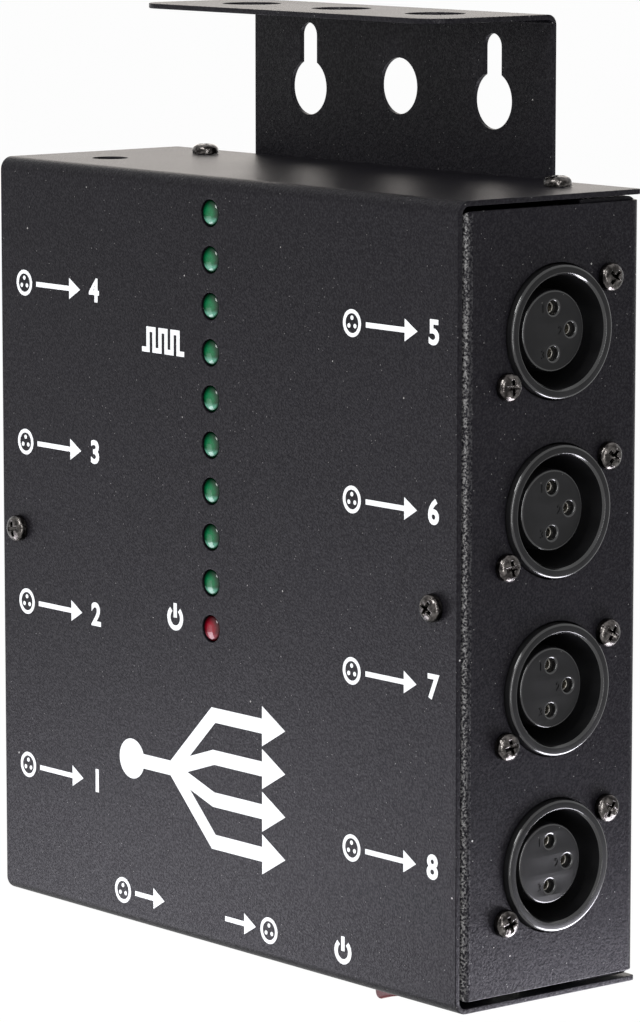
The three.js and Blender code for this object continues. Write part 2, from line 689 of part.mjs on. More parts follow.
function makePlug() {
  const moulding = socketMoulding(PLUG_WELL_D, [[0, -WELL_DEPTH]]);
  const root = -(WELL_DEPTH + SEAT_GAP);
  const tip = -WELL_DEPTH + PLUG_PIN_LENGTH;
  const radius = PLUG_PIN_D / 2;
  const pins = contactPoints.map(([x, y]) => {
    const profile = [
      [0, root],
      [radius, root],
      [radius, tip - radius],
      [radius * PLUG_TIP_SHARE, tip],
      [0, tip],
    ];
    return solidFrom(turned(profile, SMALL).translate(x, y, 0));
  });
  return join(moulding, ...pins);
}

// A pan-head screw about Z with a cross recess, its head sitting on the plane at zero.
function makeScrew() {
  const head = SCREW_HEAD_D / 2;
  const shank = SCREW_SHANK_D / 2;
  const seat = SEAT_GAP / 2;
  const profile = [
    [0, -SCREW_LENGTH],
    [shank, -SCREW_LENGTH],
    [shank, seat],
    [head, seat],
    [head, seat + SCREW_HEAD_H * HEAD_EDGE_SHARE],
    [head * HEAD_CROWN_SHARE, seat + SCREW_HEAD_H],
    [0, seat + SCREW_HEAD_H],
  ];
  return cut(solidFrom(turned(profile, SMALL)), [crossRecess(seat + SCREW_HEAD_H)]);
}

function crossRecess(top) {
  const [arm, wide] = [RECESS_SPAN / 2, RECESS_WIDTH / 2];
  const low = top - RECESS_DEPTH;
  const high = top + OVERRUN;
  const across = block([-arm, -wide, low], [arm, wide, high]);
  const upright = block([-wide, -arm, low], [wide, arm, high]);
  return join(across, upright);
}

// The countersunk screws that hold the bracket, flush with its rear face.
function makeBracketScrew() {
  const head = BRACKET_HEAD_D / 2;
  const shank = SCREW_SHANK_D / 2;
  const sink = SEAT_GAP / 2;
  const profile = [
    [0, -SCREW_LENGTH],
    [shank, -SCREW_LENGTH],
    [shank, -BRACKET_HEAD_H - sink],
    [head, -sink],
    [0, -sink],
  ];
  return solidFrom(turned(profile, COARSE));
}

// A lamp about Z: a clear domed body with a collar and two legs that reach the main board.
function makeLamp() {
  const radius = LAMP_D / 2;
  const domeBase = LAMP_PROUD - radius;
  const foot = domeBase - LAMP_BODY_H;
  const dome = DOME_ANGLES_DEG.map((degrees) => {
    const angle = THREE.MathUtils.degToRad(degrees);
    return [radius * Math.cos(angle), domeBase + radius * Math.sin(angle)];
  });
  const profile = [
    [0, foot],
    [LAMP_COLLAR_D / 2, foot],
    [LAMP_COLLAR_D / 2, foot + LAMP_COLLAR_H],
    [radius, foot + LAMP_COLLAR_H],
    ...dome,
    [0, LAMP_PROUD],
  ];
  const board = -(MAIN_BOARD_FROM_FRONT - SEAT_GAP);
  const wide = LAMP_LEG / 2;
  const legs = [-1, 1].map((side) => {
    const x = (side * LAMP_LEG_SPREAD) / 2;
    return block([x - wide, -wide, board], [x + wide, wide, foot + wide]);
  });
  return join(solidFrom(turned(profile, SMALL)), ...legs);
}

// The rocker about its pivot, untilted: local X along its length, local Z out of the case.
function makeRocker() {
  const end = ROCKER_LENGTH / 2;
  const dish = end * Math.tan(THREE.MathUtils.degToRad(ROCKER_DISH_DEG));
  const top = ROCKER_END_RISE;
  const round = ROCKER_ROUND;
  const quarter = Math.PI / 2;
  const shape = new THREE.Shape();
  shape.moveTo(-end, -ROCKER_ROOT);
  shape.lineTo(end, -ROCKER_ROOT);
  shape.lineTo(end, top - round);
  shape.absarc(end - round, top - round, round, 0, quarter, false);
  shape.lineTo(0, top - dish);
  shape.lineTo(-end + round, top);
  shape.absarc(-end + round, top - round, round, quarter, 2 * quarter, false);
  const wide = ROCKER_WIDTH / 2;
  const body = solidFrom(raised(shape, -wide, wide).rotateX(quarter));
  const reach = wide + PIVOT_LENGTH;
  return body.add(solidFrom(rod(PIVOT_D, -reach, reach, COARSE).rotateX(quarter)));
}

// The switch housing about the same pivot: a bezel outside the case, a body through it with an
// open pocket for the rocker, and two blade terminals.
function makeSwitchHousing() {
  const [bodyLength, bodyWidth] = switchBody;
  const corners = [BEZEL_CORNER, BEZEL_CORNER, BEZEL_CORNER, BEZEL_CORNER];
  const outline = roundedRectangle(BEZEL_LENGTH, BEZEL_WIDTH, corners);
  const bezel = solidFrom(raised(outline, SEAT_GAP, BEZEL_RISE));
  const deep = -SWITCH_BODY_DEPTH;
  const body = block(
    [-bodyLength / 2, -bodyWidth / 2, deep],
    [bodyLength / 2, bodyWidth / 2, BEZEL_RISE - SEAT_GAP],
  );
  const blades = [-1, 1].map((side) => {
    const x = side * bodyLength * BLADE_OFFSET_SHARE;
    return block(
      [x - BLADE_SHEET / 2, -BLADE_WIDTH / 2, deep - BLADE_LENGTH],
      [x + BLADE_SHEET / 2, BLADE_WIDTH / 2, deep + BLADE_SHEET],
    );
  });
  const pocket = block(
    [-POCKET_LENGTH / 2, -pocketWidth / 2, -POCKET_DEPTH],
    [POCKET_LENGTH / 2, pocketWidth / 2, OVERRUN],
  );
  const bearing = rod(PIVOT_D + 2 * SWING_PLAY, -bodyWidth, bodyWidth, COARSE).rotateX(Math.PI / 2);
  return cut(join(bezel, body, ...blades), [pocket, solidFrom(bearing)]);
}

// The power jack about Z: a flange outside, a threaded body through the cover and a bore with
// a centre pin.
function makeJack() {
  const profile = [
    [0, -JACK_BODY_DEPTH],
    [JACK_BODY_D / 2, -JACK_BODY_DEPTH],
    [JACK_BODY_D / 2, SEAT_GAP],
    [JACK_FLANGE_D / 2, SEAT_GAP],
    [JACK_FLANGE_D / 2, JACK_FLANGE_H],
    [JACK_BORE_D / 2, JACK_FLANGE_H],
    [JACK_BORE_D / 2, JACK_FLANGE_H - JACK_BORE_DEPTH],
    [JACK_PIN_D / 2, JACK_FLANGE_H - JACK_BORE_DEPTH],
    [JACK_PIN_D / 2, 0],
    [0, 0],
  ];
  return solidFrom(turned(profile, ROUND));
}

function makeJackNut() {
  const inner = -(SHEET + SEAT_GAP);
  const nut = rod(JACK_NUT_D, inner - JACK_NUT_H, inner, HEX);
  return cut(solidFrom(nut), [hole(JACK_BODY_D + 2 * HOLE_PLAY, "up", [0, 0, 0], ROUND)]);
}

// The main board, with its driver chips on the rear and an edge header towards each side board.
function makeMainBoard() {
  const tall = mainBoardTop - mainBoardBottom;
  const board = block(
    [-mainBoardHalf, mainBoardFront, mainBoardBottom],
    [mainBoardHalf, mainBoardBack, mainBoardTop],
  );
  const chips = [-1, 1].flatMap((side) =>
    Array.from({ length: CHIP_ROWS }, (_, i) => {
      const z = mainBoardTop - CHIP_TOP_DROP - i * CHIP_PITCH;
      const x = side * CHIP_X;
      return block(
        [x - CHIP_LENGTH / 2, mainBoardBack - BOARD / 2, z - CHIP_WIDTH / 2],
        [x + CHIP_LENGTH / 2, mainBoardBack + CHIP_HEIGHT, z + CHIP_WIDTH / 2],
      );
    }),
  );
  const middle = mainBoardTop - tall / 2;
  const headers = [-1, 1].map((side) => {
    const xs = ordered(side * (mainBoardHalf - HEADER_WIDTH), side * (sideBoardInner - SEAT_GAP));
    return block(
      [xs[0], mainBoardBack - BOARD / 2, middle - HEADER_RUN / 2],
      [xs[1], mainBoardBack + HEADER_WIDTH, middle + HEADER_RUN / 2],
    );
  });
  const eye = PILLAR_STUD_D + 2 * HOLE_PLAY;
  const holes = pillarPlaces.map(([x, z]) => hole(eye, "front", [x, mainBoardFront, z], HEX));
  return cut(join(board, ...chips, ...headers), holes);
}

// A side board, which carries the four sockets of one side.
function makeSideBoard(side) {
  const xs = ordered(side * sideBoardInner, side * sideBoardOuter);
  const middle = fromFront(SOCKET_FROM_FRONT);
  const margin = SOCKET_BODY_DEPTH + SEAT_GAP;
  return block(
    [xs[0], middle - SIDE_BOARD_DEPTH / 2, bottom + margin],
    [xs[1], middle + SIDE_BOARD_DEPTH / 2, -margin],
  );
}

// The smoothing capacitor about Z, standing on its two legs.
function makeCapacitor() {
  const radius = CAPACITOR_D / 2;
  const bevel = radius * CAPACITOR_BEVEL_SHARE;
  const lift = HEADER_LENGTH;
  const profile = [
    [0, lift],
    [radius - bevel, lift],
    [radius, lift + bevel],
    [radius, lift + CAPACITOR_LENGTH - bevel],
    [radius - bevel, lift + CAPACITOR_LENGTH],
    [0, lift + CAPACITOR_LENGTH],
  ];
  const legs = [-1, 1].map((side) => {
    const x = side * LAMP_LEG_SPREAD;
    const wide = LAMP_LEG / 2;
    return block([x - wide, -wide, SEAT_GAP], [x + wide, wide, lift + bevel]);
  });
  return join(solidFrom(turned(profile, ROUND)), ...legs);
}

// The voltage regulator: a moulded body on a metal tab, standing on three legs along Z.
function makeRegulator() {
  const wide = REGULATOR_WIDTH / 2;
  const base = REGULATOR_LEG;
  const body = block([-wide, 0, base], [wide, REGULATOR_BODY_SHEET, base + REGULATOR_BODY_H]);
  const tab = block([-wide, 0, base], [wide, REGULATOR_TAB_SHEET, base + REGULATOR_TAB_H]);
  const holeAt = base + (REGULATOR_BODY_H + REGULATOR_TAB_H) / 2;
  const eye = hole(SCREW_SHANK_D, "front", [0, 0, holeAt], COARSE);
  const legs = [-1, 0, 1].map((step) => {
    const x = step * LAMP_LEG_SPREAD;
    const reach = LAMP_LEG / 2;
    const y = REGULATOR_BODY_SHEET / 2;
    return block([x - reach, y - reach, SEAT_GAP], [x + reach, y + reach, base + reach]);
  });
  return join(cut(join(body, tab), [eye]), ...legs);
}

addMesh("front_cover", geometryFrom(makeCover()), finishes.case);
addMesh("chassis", geometryFrom(makeChassis()), finishes.case);
addMesh("hanging_bracket", geometryFrom(makeBracket()), finishes.bracket);

const socketGeometry = geometryFrom(makeSocket());
const plugGeometry = geometryFrom(makePlug());
const screwGeometry = geometryFrom(makeScrew());
for (const place of sockets) {
  const geometry = place.name === "input_plug" ? plugGeometry : socketGeometry;
  addMesh(place.name, geometry, finishes.moulding, place.way, place.at);
  socketScrews.forEach(([x, y], i) => {
    const name = `${place.name}_screw_${i + 1}`;
    addMesh(name, screwGeometry, finishes.screw, place.way, carried(place, x, y, 0));
  });
}

const lampGeometry = geometryFrom(makeLamp());
lampPlaces.forEach((at, i) => {
  const last = i === LAMP_COUNT - 1;
  const name = last ? "power_lamp" : `signal_lamp_${i + 1}`;
  addMesh(name, lampGeometry, last ? finishes.redLamp : finishes.greenLamp, "front", at);
});

const lidScrews = { front: frontScrews, top: topScrews, bottom: bottomScrews };
const lidWays = { front: "front", top: "up", bottom: "down" };
for (const [face, places] of Object.entries(lidScrews)) {
  places.forEach((at, i) => {
    addMesh(`${face}_screw_${i + 1}`, screwGeometry, finishes.screw, lidWays[face], at);
  });
}
const bracketScrewGeometry = geometryFrom(makeBracketScrew());
bracketScrews.forEach((at, i) => {
  addMesh(`bracket_screw_${i + 1}`, bracketScrewGeometry, finishes.screw, "back", at);
});

// The switch frame has local X along the case and local Z out of its bottom.
const switchFrame = new THREE.Group();
switchFrame.position.set(...rockerAt);
switchFrame.rotation.x = Math.PI;
group.add(switchFrame);
const housing = new THREE.Mesh(geometryFrom(makeSwitchHousing()), finishes.moulding);
housing.name = "switch_housing";
const rocker = new THREE.Mesh(geometryFrom(makeRocker()), finishes.rocker);
rocker.name = "power_rocker";
rocker.rotation.y = THREE.MathUtils.degToRad(ROCKER_TILT_DEG);
switchFrame.add(housing, rocker);

addMesh("power_jack", geometryFrom(makeJack()), finishes.moulding, "down", jackAt);
addMesh("power_jack_nut", geometryFrom(makeJackNut()), finishes.bright, "down", jackAt);
addMesh("main_board", geometryFrom(makeMainBoard()), finishes.board);
addMesh("left_socket_board", geometryFrom(makeSideBoard(-1)), finishes.board);
addMesh("right_socket_board", geometryFrom(makeSideBoard(1)), finishes.board);
const onBoard = (x, rise) => [x, mainBoardBack, mainBoardBottom + rise];
const capacitorAt = onBoard(CAPACITOR_X, SUPPLY_RISE);
const regulatorAt = onBoard(REGULATOR_X, SUPPLY_RISE);
addMesh("smoothing_capacitor", geometryFrom(makeCapacitor()), finishes.sleeve, "back", capacitorAt);
addMesh("voltage_regulator", geometryFrom(makeRegulator()), finishes.moulding, "back", regulatorAt);

export default group;
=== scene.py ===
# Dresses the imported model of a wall-hung signal splitter: folded and powder-coated sheets, moulded
# sockets, plated screws, coloured lamps, a red rocker and white printed signs.
# Metres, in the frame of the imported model: +X right, +Y into the wall, +Z up.

import json
import math
from functools import cache

import bmesh
import bpy
from mathutils import Matrix, Vector


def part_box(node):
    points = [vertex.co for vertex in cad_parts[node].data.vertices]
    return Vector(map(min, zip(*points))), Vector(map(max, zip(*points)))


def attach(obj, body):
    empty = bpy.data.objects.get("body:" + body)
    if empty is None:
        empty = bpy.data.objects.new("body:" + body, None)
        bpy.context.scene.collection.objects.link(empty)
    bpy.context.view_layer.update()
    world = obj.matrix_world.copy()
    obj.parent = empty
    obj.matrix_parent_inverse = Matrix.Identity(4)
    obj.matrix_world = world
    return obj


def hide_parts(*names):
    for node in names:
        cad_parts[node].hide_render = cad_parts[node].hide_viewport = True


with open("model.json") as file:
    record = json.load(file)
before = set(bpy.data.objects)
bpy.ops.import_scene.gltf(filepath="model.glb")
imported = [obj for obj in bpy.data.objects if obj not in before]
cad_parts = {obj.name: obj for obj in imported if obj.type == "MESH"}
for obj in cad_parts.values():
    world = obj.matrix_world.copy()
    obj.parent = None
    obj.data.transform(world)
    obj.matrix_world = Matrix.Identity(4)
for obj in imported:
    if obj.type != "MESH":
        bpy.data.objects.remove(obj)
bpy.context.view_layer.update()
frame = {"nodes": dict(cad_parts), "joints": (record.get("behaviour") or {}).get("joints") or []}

bl_info = {
    "name": "Signal splitter",
    "version": (1, 0, 0),
    "blender": (4, 5, 0),
    "location": "3D View > Sidebar > Splitter",
    "description": "Builds the finished look of a wall-hung signal splitter on its packed model",
    "category": "Object",
}

MM = 0.001
QUARTER = math.pi / 2
BODY = "case"
ROCKER_BODY = "rocker"

# Grain of the coat: sizes of its patches, and rises. Dust: spacing, radius and share of each kind
COAT_GRAIN = 0.42 * MM
GRAIN_RISE = 0.09 * MM
COAT_PEEL = 1.3 * MM
PEEL_RISE = 0.08 * MM
COAT_PATCHES = 26 * MM
FINE_DUST = (1.4 * MM, 0.10 * MM, 0.5)
COARSE_DUST = (5 * MM, 0.19 * MM, 0.3)
MOULDING_DUST = (2.6 * MM, 0.06 * MM, 0.12)

# How finely round forms are drawn, which edges are sharp, and how near two points count as one
FINE_STEPS = 96
ROUND_STEPS = 48
SMALL_STEPS = 24
BEND_STEPS = 8
PROFILE_STEPS = 3
BOX_STEPS = 4
SHARP_DEGREES = 30
SAME_POINT = 1e-7
SAME_PLACE = 1e-6

# The case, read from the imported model
CASE_LOW, CASE_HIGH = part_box("front_cover")
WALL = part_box("hanging_bracket")[1].y

# Places and sizes of the sheets' holes and corners
COVER_CORNER = 0.8 * MM
LAMP_HOLE = 5.3 * MM
SCREW_HOLE = 3.4 * MM
RIM_PLAY = 0.6 * MM
JACK_HOLE = 8.6 * MM
BEZEL_OVERLAP = 1.6 * MM
SWITCH_CORNER = 0.6 * MM
TOP_HOLE = 7.2 * MM
TOP_HOLE_FROM_LEFT = 16.6 * MM
TOP_HOLE_FROM_FRONT = 15 * MM
FRONT_LIP = 12 * MM
BACK_LIP = 14 * MM
BACK_LIP_INSET = 1.4 * MM
LIP_STEP = 0.06 * MM
SIDE_TOP_GAP = 1.0 * MM
SIDE_BOTTOM_GAP = 1.2 * MM
SIDE_CORNER = 2 * MM
SEAT_GAP = 0.3 * MM
NUT_WIDTH = 6 * MM
NUT_RISE = 2.2 * MM
BOARD = 1.6 * MM
PILLAR = 6 * MM
PILLAR_INSET = 5 * MM
HEADER_REACH = 3 * MM
BRACKET_CORNER = 6 * MM
BRACKET_FOOT_CORNER = 4 * MM
BRACKET_SCREW_HOLE = 5.6 * MM
HANG_HOLE = 11 * MM
HANG_HOLE_RISE = 15.7 * MM
HANG_PITCH = 27.7 * MM
KEYHOLE_RISE = 14.2 * MM
KEYHOLE_NECK = 5 * MM
KEYHOLE_LENGTH = 12.8 * MM
SHELF_HOLE = 11.6 * MM
SHELF_HOLE_FROM_WALL = 15.5 * MM
HEX_SIDES = 6
CORNER_STEPS = 6
SHELF_CORNER_STEPS = 10
KEYHOLE_STEPS = 40
NECK_STEPS = 14

# Places and sizes of the sockets and the plug
INSERT_SINK = 1.3 * MM
INSERT_EDGE = 0.4 * MM
INSERT_ROOT = 1 * MM
RUBBED = 0.45 * MM
CONTACT_DEPTH = 6 * MM
CONTACT_BORE = 1.7 * MM
SLEEVE_PLAY = 0.04 * MM
SLEEVE_SINK = 1.4 * MM
SLEEVE_FOOT_GAP = 0.1 * MM
SLEEVE_EDGE = 0.12 * MM
MARK_RISE = 0.12 * MM
MARK_HEIGHT = 1.5 * MM
MARK_ASIDE = (-2.5 * MM, -0.1 * MM)
BARREL = 22 * MM
BARREL_DEPTH = 20 * MM
BARREL_EDGE = 0.5 * MM
RIM_RISE = 1.3 * MM
RIM_EDGE = 0.45 * MM
MOUTH_WIDTH = 0.35 * MM
MOUTH_RISE = 0.05 * MM
MOUTH_EDGE = 0.1 * MM
MOUTH_DEPTH = 0.4 * MM
WELL_EDGE = 0.3 * MM
FLANGE_LONG = 31 * MM
FLANGE_SHORT = 24.6 * MM
FLANGE_CORNER = 3 * MM
FLANGE_SHEET = 2.2 * MM
FLANGE_EDGE = 0.2 * MM
FLANGE_OVERLAP = 0.2 * MM
SCREW_LONG = 25 * MM
SCREW_SHORT = 18.6 * MM
PLUG_WELL = 19 * MM
PLUG_PIN = 2.4 * MM
PLUG_PIN_LENGTH = 11 * MM
PLUG_PIN_TIP = 1.0 * MM

# Sizes of the screws, and how far each is turned past the one before, in radians
SCREW_SHANK = 2.8 * MM
SCREW_LENGTH = 6 * MM
SCREW_TURN = 0.83
SEAT_LIFT = 0.15 * MM
DOME_SHARE = 0.65
DOME_FULLNESS = 0.62
DOME_STEPS = 12
FLAT_HEAD = 5.4 * MM
FLAT_HEAD_RISE = 0.9 * MM
FLAT_HEAD_LAND = 0.1 * MM
RECESS_SPAN = 3.0 * MM
RECESS_WIDTH = 0.8 * MM
RECESS_DEPTH = 1.3 * MM
RECESS_STRAIGHT = 0.2 * MM
RECESS_OVERRUN = 1 * MM
RECESS_FOOT_ARM = RECESS_SPAN / 7
RECESS_FOOT_HALF = RECESS_WIDTH / 3

# Sizes of the lamps
LAMP_PROUD = 0.4 * MM
LAMP_BODY = 6 * MM
LENS_EASE = 0.05 * MM
LENS_RISE = 0.9 * MM
LENS_STEPS = 16
LAMP_COLLAR = 5.8 * MM
COLLAR_RISE = 1 * MM
COLLAR_EDGE = 0.2 * MM
LEG = 0.5 * MM
LEG_OUT = 1.27 * MM
LEG_CORNER = 0.08 * MM
LEG_OVERLAP = 0.1 * MM

# Sizes of the switch
BEZEL_RISE = 2 * MM
BEZEL_CORNER = 1.2 * MM
BEZEL_EDGE = 0.45 * MM
POCKET_LONG = 18.2 * MM
POCKET_WIDE = 12.2 * MM
POCKET_DEPTH = 5.5 * MM
POCKET_CORNER = 0.5 * MM
SWITCH_WALL = 0.75 * MM
SWITCH_BODY_CORNER = 0.6 * MM
SWITCH_DEPTH = 14 * MM
WALL_OVERLAP = 0.6 * MM
FLOOR_OVERLAP = 0.01 * MM
FLOOR_EDGE = 0.1 * MM
BLADE_SPREAD = 9.9 * MM
BLADE_LENGTH = 6 * MM
BLADE_WIDTH = 4.8 * MM
BLADE_SHEET = 0.8 * MM
BLADE_CORNER = 0.2 * MM
BLADE_OVERLAP = 0.2 * MM
ROCKER_LONG = 16.6 * MM
ROCKER_WIDE = 11.6 * MM
ROCKER_RISE = 5.95 * MM
ROCKER_ROOT = 3 * MM
ROCKER_EDGE = 0.35 * MM
ROCKER_TIP = 1.3 * MM
ROCKER_TIP_LAND = 1.5 * MM
ROCKER_TIP_STEPS = 8
ROCKER_TIP_EASE = 0.07
ROCKER_TILT = math.radians(10.5)
ROCKER_SHARP_DEGREES = 35
DISH_ANGLE = math.radians(4)
DISH_STEPS = 12
MARK_LONG = 3.4 * MM
MARK_BAR = 0.8 * MM
MARK_BAR_CORNER = 0.1 * MM
MARK_RING_HOLE = 2.0 * MM
MARK_SINK = 0.02 * MM
MARK_PROUD = 0.09 * MM

# Sizes of the power jack
JACK_BARREL = 8 * MM
JACK_BARREL_EDGE = 0.3 * MM
JACK_FLANGE_EDGE = 0.4 * MM
JACK_MOUTH = 6.6 * MM
JACK_MOUTH_EDGE = 0.15 * MM
JACK_MOUTH_DEPTH = 0.5 * MM
JACK_BORE = 6 * MM
JACK_BORE_DEPTH = 9 * MM
JACK_PIN_SEAT = 2.4 * MM
JACK_PIN_SEAT_RISE = 0.1 * MM
JACK_PIN = 2 * MM
JACK_PIN_TIP = 0.5 * MM

# Places and sizes of the signs on the front, and the share of a font's size that a figure is high
FIGURE_SHARE = 0.7
FIGURE_WEIGHT = 0.2 * MM
STROKE = 1.0 * MM
SIGN_RING = 5.2 * MM
RING_STROKE = 0.75 * MM
SIGN_DOT = 0.85 * MM
SIGN_DOT_REACH = 1.0 * MM
ARROW_HEAD = 3.6 * MM
ARROW_WING = 2.1 * MM
WAVE_HEIGHT = 4.0 * MM
WAVE_STEP = 1.9 * MM
POWER_RING = 4.0 * MM
LEFT_LABELS_X = -51 * MM
LEFT_LABELS_Z = [-24.8 * MM, -56.9 * MM, -89.4 * MM, -123.0 * MM]
RIGHT_LABELS_X = 51.4 * MM
RIGHT_LABELS_Z = [-24.4 * MM, -57.3 * MM, -89.6 * MM, -123.3 * MM]
WAVE_SPOT = (-16.9 * MM, -32.7 * MM)
POWER_LAMP_SPOT = (-13.4 * MM, -86.5 * MM)
POWER_SPOT = (37.7 * MM, -143.6 * MM)
LINK_SPOT = (-25.2 * MM, -143.6 * MM)
INPUT_SPOT = (10.0 * MM, -143.6 * MM)
BRANCH_SPOT = (-5.5 * MM, -116.5 * MM)
BRANCH_WIDTH = 52 * MM
BRANCH_SPREAD = 25 * MM
BRANCH_STROKE = 2.9 * MM
BRANCH_DOT = 8 * MM
BRANCH_HEAD = 7 * MM
BRANCH_WING = 3.9 * MM
BRANCH_DOT_STEPS = 40
MITRE_LIMIT = 0.3
FORK_REACH = 17 * MM
FAN_REACH = 13 * MM
NUMBER_FROM_LABEL = 12 * MM
RING_FROM_LABEL = -11.2 * MM
ARROW_FROM_LABEL = -7.2 * MM
ARROW_PAST_LABEL = 7.4 * MM
SHORT_ARROW_NEAR = 1.5 * MM
SHORT_ARROW_FAR = 8 * MM
RING_FROM_SHORT_ARROW = 5.5 * MM
WAVE_STROKES = 7
POWER_BAR = 2.88 * MM
POWER_BAR_START = 0.05 * MM
POWER_OPENING = math.radians(38)
POWER_STEPS = 30

# The camera, fitted to the photograph: its place, the way it looks and its lens
CAMERA_PLACE = (0.749388, -0.637913, 0.075379)
CAMERA_AZIMUTH = 50.532
CAMERA_ELEVATION = 8.307
CAMERA_LENS = 177.09
CAMERA_SENSOR = 36

# The floor, how strongly it glows, how much of that is seen, and by which rays
FLOOR_Z = CASE_LOW.z - 130 * MM
FLOOR_REACH = 6
GLOW = 1.06
GLOW_SHARE = 0.9
SEEN_RAYS = ("Is Camera Ray", "Is Glossy Ray", "Is Transmission Ray")

# The lamps: azimuth and elevation in degrees, distance, width and height in metres, and colour
WHITE_LIGHT = (1.0, 1.0, 1.0)
WARM_LIGHT = (1.0, 0.89, 0.79)
COOL_LIGHT = (0.93, 0.91, 1.0)
LAMPS = {
    "key": (12, 42, 0.9, 0.36, 0.36, WHITE_LIGHT),
    "edge": (62, 6, 0.7, 0.12, 0.8, WHITE_LIGHT),
    "back": (230, 20, 0.9, 0.6, 0.6, WARM_LIGHT),
    "left": (-50, -15, 0.4, 0.2, 0.2, COOL_LIGHT),
    "low_left": (-50, -32, 0.28, 0.14, 0.14, COOL_LIGHT),
    "low_right": (128, -45, 0.2, 0.1, 0.1, COOL_LIGHT),
}


def length(name, description, default):
    """A property for a size in metres."""
    return bpy.props.FloatProperty(
        name=name, description=description, default=default, min=0, unit="LENGTH", precision=5
    )


def share(name, description, default):
    """A property for a share between 0 and 1."""
    return bpy.props.FloatProperty(
        name=name, description=description, default=default, min=0, max=1, subtype="FACTOR"
    )


def colour(name, description, default):
    """A property for a colour."""
    return bpy.props.FloatVectorProperty(
        name=name, description=description, default=default, min=0, max=1, size=3, subtype="COLOR"
    )


def power(name, description, default):
    """A property for a lamp's power in watts."""
    return bpy.props.FloatProperty(
        name=name, description=description, default=default, min=0, unit="POWER"
    )


class SplitterSizes(bpy.types.PropertyGroup):
    """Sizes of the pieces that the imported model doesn't state."""

    sheet: length("Sheet", "Thickness of the folded steel", 1.0 * MM)
    cut_edge: length("Cut edge", "Rounding that the coat leaves on a cut edge", 0.14 * MM)
    cover_bend: length("Cover bend", "Outer radius of the cover's folds", 2.6 * MM)
    chassis_bend: length("Chassis bend", "Outer radius of the chassis' folds", 2.2 * MM)
    bracket_bend: length("Bracket bend", "Outer radius of the bracket's fold", 2.0 * MM)
    rim: length("Rim", "Diameter of a socket's rim", 24.8 * MM)
    well: length("Well", "Diameter of a socket's well", 21 * MM)
    well_depth: length("Well depth", "Depth of a socket's well", 14 * MM)
    insert: length("Insert", "Diameter of a socket's insert", 15.3 * MM)
    contact_circle: length("Contact circle", "Diameter on which the contacts stand", 8.5 * MM)
    contact_hole: length("Contact hole", "Diameter of a contact's hole", 2.5 * MM)
    screw_head: length("Screw head", "Diameter of a pan head", 5.3 * MM)
    screw_rise: length("Screw rise", "Height of a pan head", 1.9 * MM)
    lamp: length("Lamp", "Diameter of a lamp's lens", 5 * MM)
    label_height: length("Label height", "Height of the numbers beside the sockets", 4.4 * MM)
    ink: length("Ink", "Thickness of the printed signs", 0.04 * MM)


class SplitterColours(bpy.types.PropertyGroup):
    """Colours of the finishes, as scene-linear values."""

    coat: colour("Coat", "Powder coat of the sheets", (0.0050, 0.0046, 0.0062))
    # The dust colour is also used for the painted sparkle along the chassis' front folds
    dust_and_painted_sparkle: colour("Dust", "Specks of dust on the coat", (0.42, 0.41, 0.40))
    moulding: colour("Moulding", "Sockets, switch housing and jack", (0.0060, 0.0060, 0.0064))
    plating: colour("Plating", "Black-nickel plating of the screws", (0.130, 0.120, 0.114))
    green: colour("Green lens", "Signal lamps", (0.002, 0.120, 0.040))
    # Painted reflection: a pale colour that the lower part of a signal lamp is mixed towards
    green_painted_reflection: colour("Green milk", "Milky lower part of a signal lamp", (0.11, 0.36, 0.25))
    red: colour("Red lens", "Power lamp", (0.20, 0.003, 0.013))
    # Painted reflection: a pale colour that the lower part of the power lamp is mixed towards
    red_painted_reflection: colour("Red milk", "Milky lower part of the power lamp", (0.28, 0.04, 0.06))
    rocker: colour("Rocker", "Power rocker", (0.10, 0.003, 0.004))
    print_white: colour("Print", "Printed signs", (0.84, 0.86, 0.87))


class SplitterStage(bpy.types.PropertyGroup):
    """Levels of the studio."""

    key: power("Key", "Lamp high before the front", 5.0)
    edge: power("Edge", "Tall strip lamp before the front right corner, which lines the edges", 3.2)
    back: power("Back", "Warm lamp behind, which grazes the upper faces", 1.25)
    left: power("Left", "Lamp a little below the case, before the front", 0.18)
    low_left: power("Low left", "Low lamp before the front", 0.32)
    low_right: power("Low right", "Low lamp beside the right side", 0.64)
    surround: share("Surround", "Level of the room's light", 0.25)
    backdrop: share("Backdrop", "Level of the white background", 1.0)


class Value:
    """A socket of a shader tree that can be used in sums; each operator adds its Math node."""

    def __init__(self, finish, socket):
        self.finish = finish
        self.socket = socket

    def sum_node(self, operation, first, second):
        """Adds a Math node."""
        return self.finish.node("ShaderNodeMath", {"operation": operation}, {0: first, 1: second})

    def __add__(self, other):
        return self.sum_node("ADD", self, other)

    def __radd__(self, other):
        return self.sum_node("ADD", other, self)

    def __sub__(self, other):
        return self.sum_node("SUBTRACT", self, other)

    def __rsub__(self, other):
        return self.sum_node("SUBTRACT", other, self)

    def __mul__(self, other):
        return self.sum_node("MULTIPLY", self, other)

    def __rmul__(self, other):
        return self.sum_node("MULTIPLY", other, self)

    def __lt__(self, other):
        return self.sum_node("LESS_THAN", self, other)

    def __gt__(self, other):
        return self.sum_node("GREATER_THAN", self, other)


